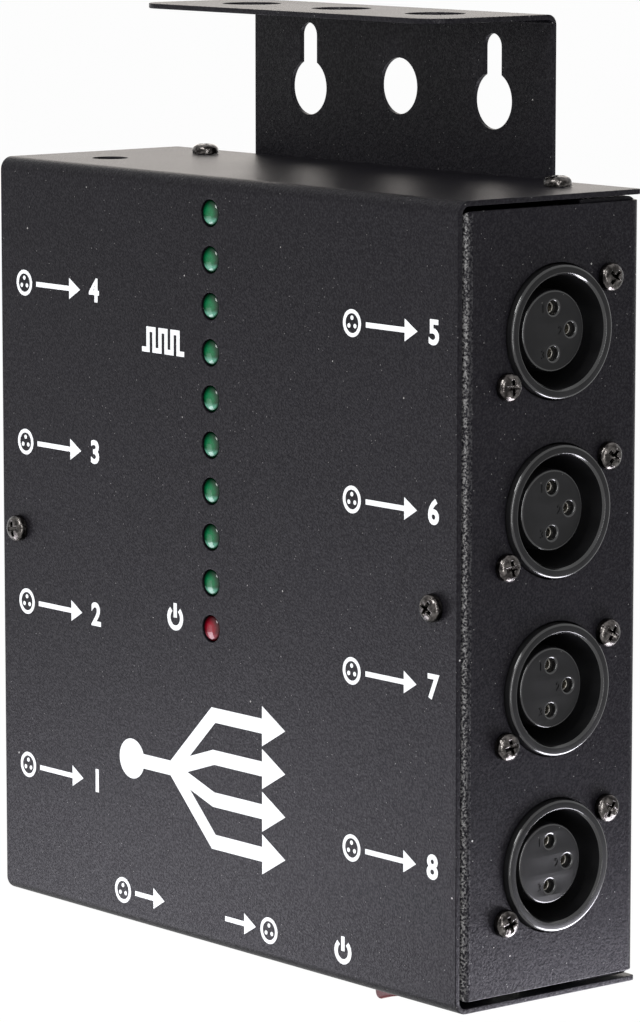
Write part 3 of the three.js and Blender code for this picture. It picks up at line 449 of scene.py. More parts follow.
class Finish:
    """A material under construction."""

    def __init__(self, name):
        self.material = bpy.data.materials.new(name)
        self.material.use_nodes = True
        self.tree = self.material.node_tree
        self.tree.nodes.clear()

    def node(self, kind, settings=None, values=None, output=0):
        """Adds a node, sets its settings, then fills its sockets with values or links."""
        made = self.tree.nodes.new(kind)
        for key, setting in (settings or {}).items():
            setattr(made, key, setting)
        for key, value in (values or {}).items():
            if isinstance(value, Value):
                self.tree.links.new(value.socket, made.inputs[key])
            else:
                made.inputs[key].default_value = value
        return Value(self, made.outputs[output]) if made.outputs else None

    def place(self):
        """The surface point in the piece's own metres."""
        return self.node("ShaderNodeTexCoord", output="Object")

    def parts(self, vector):
        """The three numbers of a vector."""
        split = self.node("ShaderNodeSeparateXYZ", values={0: vector})
        return [Value(self, socket) for socket in split.socket.node.outputs]

    def noise(self, place, size, detail=2, roughness=0.5):
        """Soft noise from 0 to 1 whose patches are about the given size."""
        return self.node(
            "ShaderNodeTexNoise",
            values={"Vector": place, "Scale": 1 / size, "Detail": detail, "Roughness": roughness},
        )

    def between(self, value, low, high):
        """0 below the lower limit, 1 above the upper one, and smooth between them."""
        return self.node(
            "ShaderNodeMapRange",
            {"interpolation_type": "SMOOTHSTEP"},
            {"Value": value, "From Min": low, "From Max": high},
        )

    def distance(self, place, point):
        """How far a place lies from a point, seen along Z."""
        kind = "ShaderNodeVectorMath"
        flat = self.node(kind, {"operation": "MULTIPLY"}, {0: place, 1: (1, 1, 0)})
        return self.node(kind, {"operation": "DISTANCE"}, {0: flat, 1: point}, "Value")

    def mix(self, factor, first, second):
        """A colour between two colours, each of them mixed before or given as three numbers."""
        ends = [shade if isinstance(shade, Value) else (*shade, 1) for shade in (first, second)]
        return self.node("ShaderNodeMix", {"data_type": "RGBA"}, {0: factor, 6: ends[0], 7: ends[1]}, 2)

    def specks(self, place, spacing, radius, amount):
        """A mask of small round specks: one in each cell that the amount lets through."""
        cell = {"Vector": place, "Scale": 1 / spacing}
        distance = self.node("ShaderNodeTexVoronoi", values=cell, output="Distance")
        chance = self.node("ShaderNodeTexVoronoi", values=cell, output="Color")
        red = self.node("ShaderNodeSeparateColor", values={0: chance})
        return (distance < radius / spacing) * (red > 1 - amount)

    def bump(self, height, strength, distance, normal=None):
        """A normal that is tilted by a height."""
        values = {"Height": height, "Strength": strength, "Distance": distance}
        if normal:
            values["Normal"] = normal
        return self.node("ShaderNodeBump", values=values)

    def surface(self, **values):
        """Ends the material with the main shader; names are its sockets, with _ for a space."""
        sockets = {name.replace("_", " "): value for name, value in values.items()}
        shader = self.node("ShaderNodeBsdfPrincipled", values=sockets)
        self.node("ShaderNodeOutputMaterial", values={"Surface": shader})
        return self.material


class RoomFinish(Finish):
    """The world's shader tree, built like a material's."""

    def __init__(self, world):
        self.tree = world.node_tree
        self.tree.nodes.clear()


def seen_directly(finish):
    """1 for rays from the camera and for those that reflections and glass send on."""
    path = finish.node("ShaderNodeLightPath")
    outputs = path.socket.node.outputs
    camera, glossy, glass = [Value(finish, outputs[name]) for name in SEEN_RAYS]
    return camera + glossy + glass > 0.5


def scaled(shade, factor):
    """A colour made lighter or darker by a factor."""
    return tuple(factor * part for part in shade)


def colours():
    """The colours set in the panel."""
    return bpy.context.scene.splitter_colours


def sizes():
    """The sizes set in the panel."""
    return bpy.context.scene.splitter_sizes


@cache
def powder_coat():
    """The coat of the cover and the bracket."""
    return coating("powder_coat")


@cache
def rubbed_coat():
    """The coat of the chassis, polished by wear where its sides fold in behind the front, and with
    a painted highlight of sparkle along the middle of those folds.
    """
    return coating("rubbed_coat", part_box("chassis"))


def coating(name, folded=None):
    """Fine-grained black powder coat with a little dust and rubbed patches. Where the low and high
    corners of a tray are given, its front folds shine, with a painted highlight along their middle."""
    finish = Finish(name)
    place = finish.place()
    grain = finish.noise(place, COAT_GRAIN, detail=2, roughness=0.6)
    peel = finish.noise(place, COAT_PEEL, detail=1)
    cloud = finish.noise(place, COAT_PATCHES, detail=3)
    coat, dust_and_painted_sparkle = colours().coat, colours().dust_and_painted_sparkle
    lighter = scaled(coat, 1.5)
    shade = finish.mix(finish.between(grain, 0.45, 0.75), coat, lighter)
    shade = finish.mix(finish.between(cloud, 0.4, 0.8) * 0.5, shade, lighter)
    shade = finish.mix(finish.specks(place, *FINE_DUST) * 0.4, shade, dust_and_painted_sparkle)
    shade = finish.mix(finish.specks(place, *COARSE_DUST) * 0.8, shade, dust_and_painted_sparkle)
    shine = 0
    if folded:
        low, high = folded
        across, along, _ = finish.parts(place)
        bent = sizes().chassis_bend
        shine = (across * across > (high.x - bent) ** 2) * (along < low.y + bent)
        turned_in = finish.between(along, low.y + 0.1 * bent, low.y + 0.35 * bent)
        turned_away = finish.between(along, low.y + 0.4 * bent, low.y + 0.75 * bent)
        # Painted highlight: along the middle of each front fold, spots of the grain are mixed towards
        # the dust colour as painted sparkle
        painted_sparkle = shine * (turned_in - turned_away) * finish.between(grain, 0.45, 0.65)
        shade = finish.mix(painted_sparkle * 0.3, shade, dust_and_painted_sparkle)
    uneven = finish.bump(peel, 0.4, PEEL_RISE)
    return finish.surface(
        Base_Color=shade,
        Roughness=0.28 + 0.12 * grain + 0.06 * cloud - 0.14 * shine,
        Coat_Weight=finish.between(grain, 0.35, 0.7) * (0.22 + 0.78 * shine),
        Normal=finish.bump(grain, 1.0, GRAIN_RISE, uneven),
        Specular_IOR_Level=0.07,
        Specular_Tint=(0.96, 0.93, 1.0, 1),
        Coat_Roughness=0.38,
    )


def moulding(name, edges=()):
    """Satin black moulding with a faint spark-eroded texture and rubbed spots. Its edges shine
    where the middle, the radius and the lowest place of a rubbed round edge are given."""
    finish = Finish(name)
    place = finish.place()
    grain = finish.noise(place, 0.25 * MM, detail=1)
    cloud = finish.noise(place, 6 * MM, detail=2)
    black = colours().moulding
    shade = finish.mix(finish.between(cloud, 0.35, 0.75), black, scaled(black, 1.6))
    shade = finish.mix(finish.specks(place, *MOULDING_DUST) * 0.7, shade, colours().dust_and_painted_sparkle)
    out = finish.parts(place)[2]
    shine = 0
    for middle, edge, lowest in edges:
        radius = finish.distance(place, middle)
        near = (radius > edge - RUBBED) * (radius < edge + RUBBED) * (out > lowest)
        shine = near + shine
    return finish.surface(
        Base_Color=shade,
        Roughness=0.26 + 0.12 * cloud + 0.06 * grain - 0.2 * shine,
        Coat_Weight=shine,
        Normal=finish.bump(grain, 0.35, 0.012 * MM),
        Specular_IOR_Level=0.16,
        Coat_Roughness=0.12,
    )


@cache
def moulded_black():
    """The moulding without rubbed edges."""
    return moulding("moulded_black")


@cache
def socket_black():
    """The moulding of a socket, rubbed at its rim, its well, its insert and its contact holes."""
    axis = (0, 0, 0)
    rim_low, insert_low = RIM_RISE - RUBBED, -INSERT_SINK - RUBBED
    edges = [(axis, sizes().rim / 2, rim_low), (axis, sizes().well / 2, rim_low)]
    edges.append((axis, sizes().insert / 2, insert_low))
    for spot in contact_spots():
        edges.append((tuple(spot.translation), sizes().contact_hole / 2, insert_low))
    return moulding("socket_black", edges)


@cache
def black_nickel():
    """Black-nickel plating, with painted shade in the hollows of its uneven surface."""
    finish = Finish("black_nickel")
    place = finish.place()
    cloud = finish.noise(place, 1.2 * MM, detail=3)
    grain = finish.noise(place, 0.16 * MM, detail=1)
    plating = colours().plating
    # Painted shade: the plating is darkened where the noise that raises the bumps is low, in their
    # hollows
    return finish.surface(
        Base_Color=finish.mix(finish.between(cloud, 0.35, 0.7), scaled(plating, 0.14), plating),
        Metallic=1.0,
        Roughness=0.08 + 0.12 * cloud,
        Normal=finish.bump(cloud + 0.1 * grain, 1.0, 0.2 * MM),
    )


def lens(name, shade, painted_reflection):
    """A coloured lens, with painted shade towards its rim and a pale painted reflection on its lower
    part.
    """
    finish = Finish(name)
    place = finish.place()
    across, up, _ = finish.parts(place)
    middle = finish.distance(place, (0.2 * MM, 0.1 * MM, 0))
    cloud = finish.noise(place, 1.1 * MM, detail=1)
    # Painted shade: depth is 1 in the middle and falls to 0 at the rim, where the lens colour is
    # darkened
    depth = finish.between(middle, 2.25 * MM, 0.6 * MM)
    colour_with_painted_rim_shade = finish.mix(depth * (0.7 + 0.5 * cloud), scaled(shade, 0.12), shade)
    # Painted reflection: low marks the lower part of the lens, which is mixed towards a pale colour as
    # the reflection of the bright surroundings below
    low = finish.between(up, -0.5 * MM, -1.5 * MM)
    inside = finish.between(middle, 2.3 * MM, 1.9 * MM)
    return finish.surface(
        Base_Color=finish.mix(low * inside * 0.75, colour_with_painted_rim_shade, painted_reflection),
        Roughness=0.1 + 0.06 * cloud,
        Specular_IOR_Level=0.0,
        Coat_Weight=inside * finish.between(across - 0.4 * up, -1.4 * MM, 1.4 * MM) * 0.8,
        Coat_IOR=1.6,
        Coat_Roughness=0.04,
    )


@cache
def green_lens():
    """The lens of a signal lamp."""
    return lens("green_lens", colours().green, colours().green_painted_reflection)


@cache
def red_lens():
    """The lens of the power lamp."""
    return lens("red_lens", colours().red, colours().red_painted_reflection)


@cache
def rocker_red():
    """Glossy red moulding with faint flow marks."""
    finish = Finish("rocker_red")
    cloud = finish.noise(finish.place(), 5 * MM, detail=2)
    red = colours().rocker
    return finish.surface(
        Base_Color=finish.mix(finish.between(cloud, 0.3, 0.7), scaled(red, 0.7), red),
        Roughness=0.3 + 0.1 * cloud,
        Normal=finish.bump(cloud, 0.15, 0.04 * MM),
        Specular_IOR_Level=0.15,
    )


@cache
def white_ink():
    """Screen-printed ink that follows the grain of the coat below it."""
    finish = Finish("white_ink")
    grain = finish.noise(finish.place(), COAT_GRAIN, detail=2, roughness=0.6)
    white = colours().print_white
    return finish.surface(
        Base_Color=finish.mix(finish.between(grain, 0.28, 0.5), scaled(white, 0.9), white),
        Roughness=0.5 + 0.1 * grain,
        Normal=finish.bump(grain, 0.5, 0.04 * MM),
    )


@cache
def tinned_contact():
    """Tinned metal of the contacts and terminals."""
    finish = Finish("tinned_contact")
    cloud = finish.noise(finish.place(), 0.7 * MM, detail=2)
    return finish.surface(
        Base_Color=finish.mix(cloud, (0.42, 0.40, 0.37), (0.80, 0.77, 0.70)),
        Metallic=1.0,
        Roughness=0.2 + 0.15 * cloud,
    )


@cache
def zinc_plate():
    """Zinc-plated steel with a fine spangle."""
    finish = Finish("zinc_plate")
    cloud = finish.noise(finish.place(), 1.2 * MM, detail=3)
    return finish.surface(
        Base_Color=finish.mix(cloud, (0.40, 0.40, 0.38), (0.66, 0.66, 0.63)),
        Metallic=1.0,
        Roughness=0.3 + 0.2 * cloud,
        Normal=finish.bump(cloud, 0.2, 0.03 * MM),
    )


@cache
def solder_mask():
    """Green solder mask over glass fibre, with copper tracks that show through it."""
    finish = Finish("solder_mask")
    place = finish.place()
    weave = finish.noise(place, 0.3 * MM, detail=1)
    tracks = finish.node(
        "ShaderNodeTexBrick",
        {"offset": 0.37, "squash": 1.0},
        {"Vector": place, "Scale": 1 / (9 * MM), "Mortar Size": 0.03, "Mortar Smooth": 0.1},
        output="Fac",
    )
    board = finish.mix(weave, (0.006, 0.075, 0.026), (0.012, 0.12, 0.04))
    return finish.surface(
        Base_Color=finish.mix(tracks * 0.6, board, (0.03, 0.22, 0.07)),
        Roughness=0.28 + 0.1 * weave,
        Normal=finish.bump(tracks + 0.2 * weave, 0.3, 0.03 * MM),
    )


@cache
def blue_sleeve():
    """Shrunk sleeve of a capacitor."""
    finish = Finish("blue_sleeve")
    cloud = finish.noise(finish.place(), 2 * MM, detail=2)
    return finish.surface(
        Base_Color=finish.mix(cloud, (0.01, 0.02, 0.06), (0.025, 0.045, 0.12)),
        Roughness=0.25 + 0.15 * cloud,
        Normal=finish.bump(cloud, 0.2, 0.05 * MM),
    )


# A piece's own X, Y and Z as directions in the frame, for each way that it can look
FACING = {
    "right": ((0, 1, 0), (0, 0, 1), (1, 0, 0)),
    "left": ((0, -1, 0), (0, 0, 1), (-1, 0, 0)),
    "front": ((1, 0, 0), (0, 0, 1), (0, -1, 0)),
    "back": ((-1, 0, 0), (0, 0, 1), (0, 1, 0)),
    "up": ((1, 0, 0), (0, 1, 0), (0, 0, 1)),
    "down": ((0, 1, 0), (1, 0, 0), (0, 0, -1)),
}


def facing(way, at):
    """The matrix of a piece that looks one way from a place."""
    turn = Matrix(FACING[way]).transposed().to_4x4()
    return Matrix.Translation(at) @ turn


def way_of(node):
    """The side of the case that a node stands out of."""
    low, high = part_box(node)
    reach = {
        "right": high.x - CASE_HIGH.x,
        "left": CASE_LOW.x - low.x,
        "front": CASE_LOW.y - low.y,
        "back": high.y - CASE_HIGH.y,
        "up": high.z - CASE_HIGH.z,
        "down": CASE_LOW.z - low.z,
    }
    return max(reach, key=reach.get)


def middle_of(node):
    """The middle of a node's box."""
    low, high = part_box(node)
    return (low + high) / 2


def seat_of(node):
    """Where a node sits: facing out of the case, with its origin on the case's outer face."""
    x, y, z = middle_of(node)
    way = way_of(node)
    at = {
        "right": (CASE_HIGH.x, y, z),
        "left": (CASE_LOW.x, y, z),
        "front": (x, CASE_LOW.y, z),
        "back": (x, WALL, z),
        "up": (x, y, CASE_HIGH.z),
        "down": (x, y, CASE_LOW.z),
    }[way]
    return facing(way, at)


def nodes_named(*starts):
    """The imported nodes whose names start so, in order."""
    return sorted(name for name in frame["nodes"] if name.startswith(starts))


def new_piece(name, mesh, material, slot, replaced=(), matrix=None, body=BODY):
    """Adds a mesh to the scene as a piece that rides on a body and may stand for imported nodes."""
    piece = bpy.data.objects.new(name, mesh)
    bpy.context.scene.collection.objects.link(piece)
    if matrix is not None:
        piece.matrix_world = matrix
    if not mesh.materials:
        mesh.materials.append(material)
    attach(piece, body)
    if replaced:
        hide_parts(*replaced)
    return piece


def mesh_from(name, work, sharp_degrees=SHARP_DEGREES):
    """Turns an edit mesh into a mesh with smooth shading and sharp edges above an angle."""
    bmesh.ops.recalc_face_normals(work, faces=work.faces)
    mesh = bpy.data.meshes.new(name)
    work.to_mesh(mesh)
    work.free()
    mesh.shade_smooth()
    mesh.set_sharp_from_angle(angle=math.radians(sharp_degrees))
    return mesh


def even_shading(piece):
    """Keeps large flat faces flat beside small rounded ones."""
    modifier = piece.modifiers.new("even_shading", "WEIGHTED_NORMAL")
    modifier.keep_sharp = True
    modifier.weight = 100


def merged(*works):
    """One edit mesh that holds several."""
    whole = bmesh.new()
    for work in works:
        holder = bpy.data.meshes.new("merged")
        work.to_mesh(holder)
        work.free()
        whole.from_mesh(holder)
        bpy.data.meshes.remove(holder)
    return whole


def moved(work, matrix):
    """The same edit mesh, moved."""
    bmesh.ops.transform(work, matrix=matrix, verts=work.verts)
    return work


def turned(profile, steps):
    """A round form about Z from (radius, height) points that start and end on the axis, or close."""
    work = bmesh.new()
    rings = []
    for radius, height in profile:
        if radius == 0:
            rings.append([work.verts.new((0, 0, height))])
            continue
        ring = []
        for i in range(steps):
            angle = 2 * math.pi * i / steps
            ring.append(work.verts.new((radius * math.cos(angle), radius * math.sin(angle), height)))
        rings.append(ring)
    for low, high in zip(rings, rings[1:]):
        for i in range(steps):
            corners = [low[i % len(low)], low[(i + 1) % len(low)]]
            corners += [high[(i + 1) % len(high)], high[i % len(high)]]
            loop = list(dict.fromkeys(corners))
            if len(loop) > 2:
                work.faces.new(loop)
    return work


def rounded(corner, before, after, radius):
    """Points of an arc that stands for the corner of a profile, between its two neighbours."""
    corner, before, after = Vector(corner), Vector(before), Vector(after)
    back = (before - corner).normalized()
    ahead = (after - corner).normalized()
    spread = back.angle(ahead) / 2
    reach = radius / math.tan(spread)
    centre = corner + (back + ahead).normalized() * (radius / math.sin(spread))
    start = corner + back * reach - centre
    end = corner + ahead * reach - centre
    first = math.atan2(start.y, start.x)
    sweep = math.remainder(math.atan2(end.y, end.x) - first, 2 * math.pi)
    return arc_points(centre, radius, first, first + sweep, PROFILE_STEPS)


def soft_profile(points):
    """A profile in which (radius, height, rounding) corners become arcs."""
    path = []
    for i, point in enumerate(points):
        if len(point) == 2:
            path.append(point)
            continue
        path += rounded(point[:2], points[i - 1][:2], points[i + 1][:2], point[2])
    return path


def arc_points(centre, radius, start, end, steps):
    """Points along an arc, from one angle to another."""
    points = []
    for i in range(steps + 1):
        angle = start + (end - start) * i / steps
        points.append((centre[0] + radius * math.cos(angle), centre[1] + radius * math.sin(angle)))
    return points


def round_hole(centre, diameter, steps=ROUND_STEPS):
    """A closed clockwise circle."""
    return arc_points(centre, diameter / 2, 0, -2 * math.pi, steps)[:-1]


def square_hole(centre, width, height, corner):
    """A closed clockwise rectangle with round corners."""
    return rounded_box(centre, width, height, corner)[::-1]


def rounded_box(centre, width, height, corner, steps=BOX_STEPS):
    """A closed anticlockwise rectangle with round corners."""
    x, y = width / 2 - corner, height / 2 - corner
    points = []
    for i, (sx, sy) in enumerate([(1, 1), (-1, 1), (-1, -1), (1, -1)]):
        middle = (centre[0] + sx * x, centre[1] + sy * y)
        points += arc_points(middle, corner, i * QUARTER, (i + 1) * QUARTER, steps)
    return points


def plate(outlines, low, high, edge=0, edge_steps=1):
    """A flat sheet between two heights from closed outlines, with its edges rounded: anticlockwise
    outlines are filled, and clockwise ones inside them are holes."""
    curve = bpy.data.curves.new("plate", "CURVE")
    curve.dimensions = "2D"
    curve.fill_mode = "BOTH"
    curve.extrude = (high - low) / 2 - edge
    curve.bevel_depth = edge
    curve.bevel_resolution = edge_steps
    curve.offset = -edge
    for outline in outlines:
        spline = curve.splines.new("POLY")
        spline.points.add(len(outline) - 1)
        for point, (x, y) in zip(spline.points, outline):
            point.co = (x, y, 0, 1)
        spline.use_cyclic_u = True
    return from_curve(curve, Matrix.Translation((0, 0, (low + high) / 2)))


def from_curve(curve, matrix):
    """The filled solid of a curve or text, as an edit mesh."""
    holder = bpy.data.objects.new("curve", curve)
    mesh = bpy.data.meshes.new_from_object(holder)
    work = bmesh.new()
    work.from_mesh(mesh)
    bpy.data.meshes.remove(mesh)
    bpy.data.objects.remove(holder)
    bpy.data.curves.remove(curve)
    bmesh.ops.remove_doubles(work, verts=work.verts, dist=SAME_POINT)
    return moved(work, matrix)


def carved(mesh, cutter):
    """A mesh less the solids of an edit mesh."""
    tool_mesh = mesh_from("tool", cutter)
    piece = bpy.data.objects.new("carved", mesh)
    tool = bpy.data.objects.new("tool", tool_mesh)
    for holder in (piece, tool):
        bpy.context.scene.collection.objects.link(holder)
    modifier = piece.modifiers.new("cut", "BOOLEAN")
    modifier.operation = "DIFFERENCE"
    modifier.solver = "EXACT"
    modifier.use_self = True
    modifier.object = tool
    graph = bpy.context.evaluated_depsgraph_get()
    result = bpy.data.meshes.new_from_object(piece.evaluated_get(graph))
    for holder in (piece, tool):
        bpy.data.objects.remove(holder)
    bpy.data.meshes.remove(tool_mesh)
    return result


class FoldedSheet:
    """A sheet folded at right angles along a path of outer corners. Every fold turns left, and the
    metal lies on the left of the path."""

    def __init__(self, corners, sheet, bend):
        self.corners = [Vector(corner) for corner in corners]
        self.sheet = sheet
        self.bend = bend
        self.arc = QUARTER * (bend - sheet / 2)
        self.runs = [(b - a).length for a, b in zip(self.corners, self.corners[1:])]
        self.starts = [0]
        for run in self.runs[:-1]:
            self.starts.append(self.starts[-1] + run - 2 * bend + self.arc)
        self.flat_length = self.starts[-1] + self.runs[-1]

    def along(self, run, distance):
        """The place on the flat sheet of a point so far along a run's outer face."""
        return self.starts[run] + distance

    def fold_lines(self):
        """The places on the flat sheet where it needs an edge to bend smoothly."""
        lines = []
        for start in self.starts[1:]:
            end = start + self.bend
            lines += [end - self.arc * i / BEND_STEPS for i in range(BEND_STEPS + 1)]
        return lines

    def folded(self, place, depth):
        """The folded place of a point on the flat sheet, so deep below its outer face."""
        run = max(i for i in range(len(self.starts)) if place >= self.bend_start(i))
        corner = self.corners[run]
        ahead = (self.corners[run + 1] - corner).normalized()
        inward = Vector((-ahead.y, ahead.x))
        flat_start = self.starts[run] + (self.bend if run else 0)
        if place >= flat_start:
            return corner + ahead * (place - self.starts[run]) + inward * depth
        angle = (flat_start - place) / self.arc * QUARTER
        centre = corner + (ahead + inward) * self.bend
        radius = self.bend - depth
        return centre - inward * radius * math.cos(angle) - ahead * radius * math.sin(angle)

    def bend_start(self, run):
        """Where the fold before a run starts on the flat sheet."""
        if run == 0:
            return -math.inf
        return self.starts[run] + self.bend - self.arc

    def build(self, outlines, edge, to_frame):
        """Cuts the flat sheet to its outlines and folds it. Outlines are (place, across) points;
        to_frame turns a folded (a, b, across) point into the frame."""
        work = plate(outlines, -self.sheet, 0, edge)
        for line in self.fold_lines():
            geometry = work.verts[:] + work.edges[:] + work.faces[:]
            bmesh.ops.bisect_plane(work, geom=geometry, plane_co=(line, 0, 0), plane_no=(1, 0, 0))
        for vertex in work.verts:
            place, across, height = vertex.co
            a, b = self.folded(place, -height)
            vertex.co = to_frame(a, b, across)
        return work


class Maker:
    """What the operators share."""

    bl_options = {"REGISTER", "UNDO"}


class SheetMaker(Maker):
    """What the operators of the sheets share."""

    def add_sheet(self, node, works, slot, material):
        """Adds a sheet in place of its node."""
        work = works[0] if len(works) == 1 else merged(*works)
        name = f"{node}_sheet"
        even_shading(new_piece(name, mesh_from(name, work), material, slot, [node]))


class SPLITTER_OT_cover(SheetMaker, bpy.types.Operator):
    """Fold the cover: top, front and bottom in one sheet with the holes of its fittings"""

    bl_idname = "splitter.cover"
    bl_label = "Cover"

    def execute(self, context):
        low, high = CASE_LOW, CASE_HIGH
        path = [(high.y, high.z), (low.y, high.z), (low.y, low.z), (high.y, low.z)]
        fold = FoldedSheet(path, sizes().sheet, sizes().cover_bend)
        middle = (fold.flat_length / 2, 0)
        outline = rounded_box(middle, fold.flat_length, high.x - low.x, COVER_CORNER)
        lamps = nodes_named("signal_lamp", "power_lamp")
        screws = nodes_named("front_screw", "top_screw", "bottom_screw", "link_socket_screw")
        screws += nodes_named("input_plug_screw")
        holes = [self.hole(fold, node, LAMP_HOLE) for node in lamps]
        holes += [self.hole(fold, node, SCREW_HOLE) for node in screws]
        for node in ("link_socket", "input_plug"):
            holes.append(self.hole(fold, node, sizes().rim + RIM_PLAY))
        holes.append(self.hole(fold, "power_jack", JACK_HOLE))
        first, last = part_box("switch_housing")
        size = last - first - Vector((BEZEL_OVERLAP, BEZEL_OVERLAP, 0))
        switch = self.spot(fold, middle_of("switch_housing"), "down")
        holes.append(square_hole(switch, size.y, size.x, SWITCH_CORNER))
        top = Vector((low.x + TOP_HOLE_FROM_LEFT, low.y + TOP_HOLE_FROM_FRONT, high.z))
        holes.append(round_hole(self.spot(fold, top, "up"), TOP_HOLE))
        work = fold.build([outline, *holes], sizes().cut_edge, lambda a, b, x: (x, a, b))
        self.add_sheet("front_cover", [work], "case_paint", powder_coat())
        return {"FINISHED"}

    def spot(self, fold, point, way):
        """The place on the flat sheet of a point on the folded one."""
        run, distance = {
            "up": (0, CASE_HIGH.y - point.y),
            "front": (1, CASE_HIGH.z - point.z),
            "down": (2, point.y - CASE_LOW.y),
        }[way]
        return (fold.along(run, distance), point.x)

    def hole(self, fold, node, diameter):
        """The round hole of a fitting in the flat sheet."""
        return round_hole(self.spot(fold, middle_of(node), way_of(node)), diameter)


class SPLITTER_OT_chassis(SheetMaker, bpy.types.Operator):
    """Fold the chassis: back and sides in one sheet, its lips, nuts and board pillars"""

    bl_idname = "splitter.chassis"
    bl_label = "Chassis"

    def execute(self, context):
        low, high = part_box("chassis")
        bend, sheet = sizes().chassis_bend, sizes().sheet
        path = [
            (high.x - FRONT_LIP, low.y),
            (high.x, low.y),
            (high.x, high.y),
            (low.x, high.y),
            (low.x, low.y),
            (low.x + FRONT_LIP, low.y),
        ]
        fold = FoldedSheet(path, sheet, bend)
        top = CASE_HIGH.z - sheet - SIDE_TOP_GAP
        foot = CASE_LOW.z + sheet + SIDE_BOTTOM_GAP
        outline = self.tray_outline(fold, foot, top)
        holes = []
        for node in nodes_named("output_socket"):
            diameter = SCREW_HOLE if "screw" in node else sizes().rim + RIM_PLAY
            holes.append(round_hole(self.spot(fold, node), diameter))
        tray = fold.build([outline, *holes], sizes().cut_edge, lambda a, b, z: (a, b, z))
        screws = nodes_named("front_screw", "top_screw", "bottom_screw")
        screws += nodes_named("bracket_screw")
        works = [tray, *self.lips(high.y, sheet, bend)]
        works += [self.nut(node) for node in screws]
        works += [self.pillar(x, z) for x, z in self.pillar_places()]
        self.add_sheet("chassis", works, "case_paint", rubbed_coat())
        return {"FINISHED"}

    def tray_outline(self, fold, foot, top):
        """The flat tray: its front lips are cut back with a round corner."""
        end = fold.flat_length
        lip = fold.along(1, 0)
        far = end - lip
        left, right = lip + SIDE_CORNER, far - SIDE_CORNER
        low, high = foot + SIDE_CORNER, top - SIDE_CORNER
        points = [(0, low), (lip, low)]
        points += arc_points((left, low), SIDE_CORNER, 2 * QUARTER, 3 * QUARTER, CORNER_STEPS)
        points += arc_points((right, low), SIDE_CORNER, 3 * QUARTER, 4 * QUARTER, CORNER_STEPS)
        points += [(end, low), (end, high)]
        points += arc_points((right, high), SIDE_CORNER, 0, QUARTER, CORNER_STEPS)
        points += arc_points((left, high), SIDE_CORNER, QUARTER, 2 * QUARTER, CORNER_STEPS)
        points += [(0, high)]
        return without_repeats(points)

    def spot(self, fold, node):
        """The place on the flat tray of a fitting on one of its sides."""
        point = middle_of(node)
        front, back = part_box("chassis")
        if way_of(node) == "right":
            return (fold.along(1, point.y - front.y), point.z)
        return (fold.along(3, back.y - point.y), point.z)

    def lips(self, back, sheet, bend):
        """The lips that fold forward from the back, above and below."""
        half = CASE_HIGH.x - BACK_LIP_INSET
        back = back - LIP_STEP
        top = CASE_HIGH.z - sheet - SEAT_GAP
        foot = CASE_LOW.z + sheet + SEAT_GAP
        paths = [
            [(back, CASE_HIGH.z - BACK_LIP), (back, top), (back - BACK_LIP, top)],
            [(back - BACK_LIP, foot), (back, foot), (back, CASE_LOW.z + BACK_LIP)],
        ]
        works = []
        for path in paths:
            fold = FoldedSheet(path, sheet, bend)
            middle = (fold.flat_length / 2, 0)
            outline = rounded_box(middle, fold.flat_length, 2 * half, COVER_CORNER)
            works.append(fold.build([outline], sizes().cut_edge, lambda a, b, x: (x, a, b)))
        return works

    def nut(self, node):
        """A nut pressed in behind the sheet that a screw goes into."""
        at_back = way_of(node) == "back"
        cover = 0 if at_back else sizes().sheet + SEAT_GAP
        high = -cover - sizes().sheet
        low = high - NUT_RISE
        inner, outer = SCREW_HOLE / 2, NUT_WIDTH / 2
        profile = [(inner, low), (outer, low), (outer, high), (inner, high), (inner, low)]
        down = CASE_HIGH.y - WALL if at_back else 0
        return moved(turned(profile, HEX_SIDES), seat_of(node) @ Matrix.Translation((0, 0, down)))

    def pillar_places(self):
        """The x and z of the pillars, near the main board's corners."""
        low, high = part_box("main_board")
        x = min(-low.x, high.x) - HEADER_REACH - PILLAR_INSET
        return [(side * x, z) for side in (-1, 1) for z in (low.z + PILLAR_INSET, high.z - PILLAR_INSET)]

    def pillar(self, x, z):
        """A pillar between the back and the main board."""
        back = CASE_HIGH.y
        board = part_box("main_board")[0].y + BOARD + SEAT_GAP
        rise = back - board
        profile = [(0, 0), (PILLAR / 2, 0), (PILLAR / 2, rise), (0, rise)]
        return moved(turned(profile, HEX_SIDES), facing("front", (x, back - sizes().sheet / 2, z)))


def without_repeats(points):
    """The points less those that repeat the one before."""
    path = points[:1]
    for point in points[1:]:
        if (Vector(point) - Vector(path[-1])).length > SAME_PLACE:
            path.append(point)
    return path


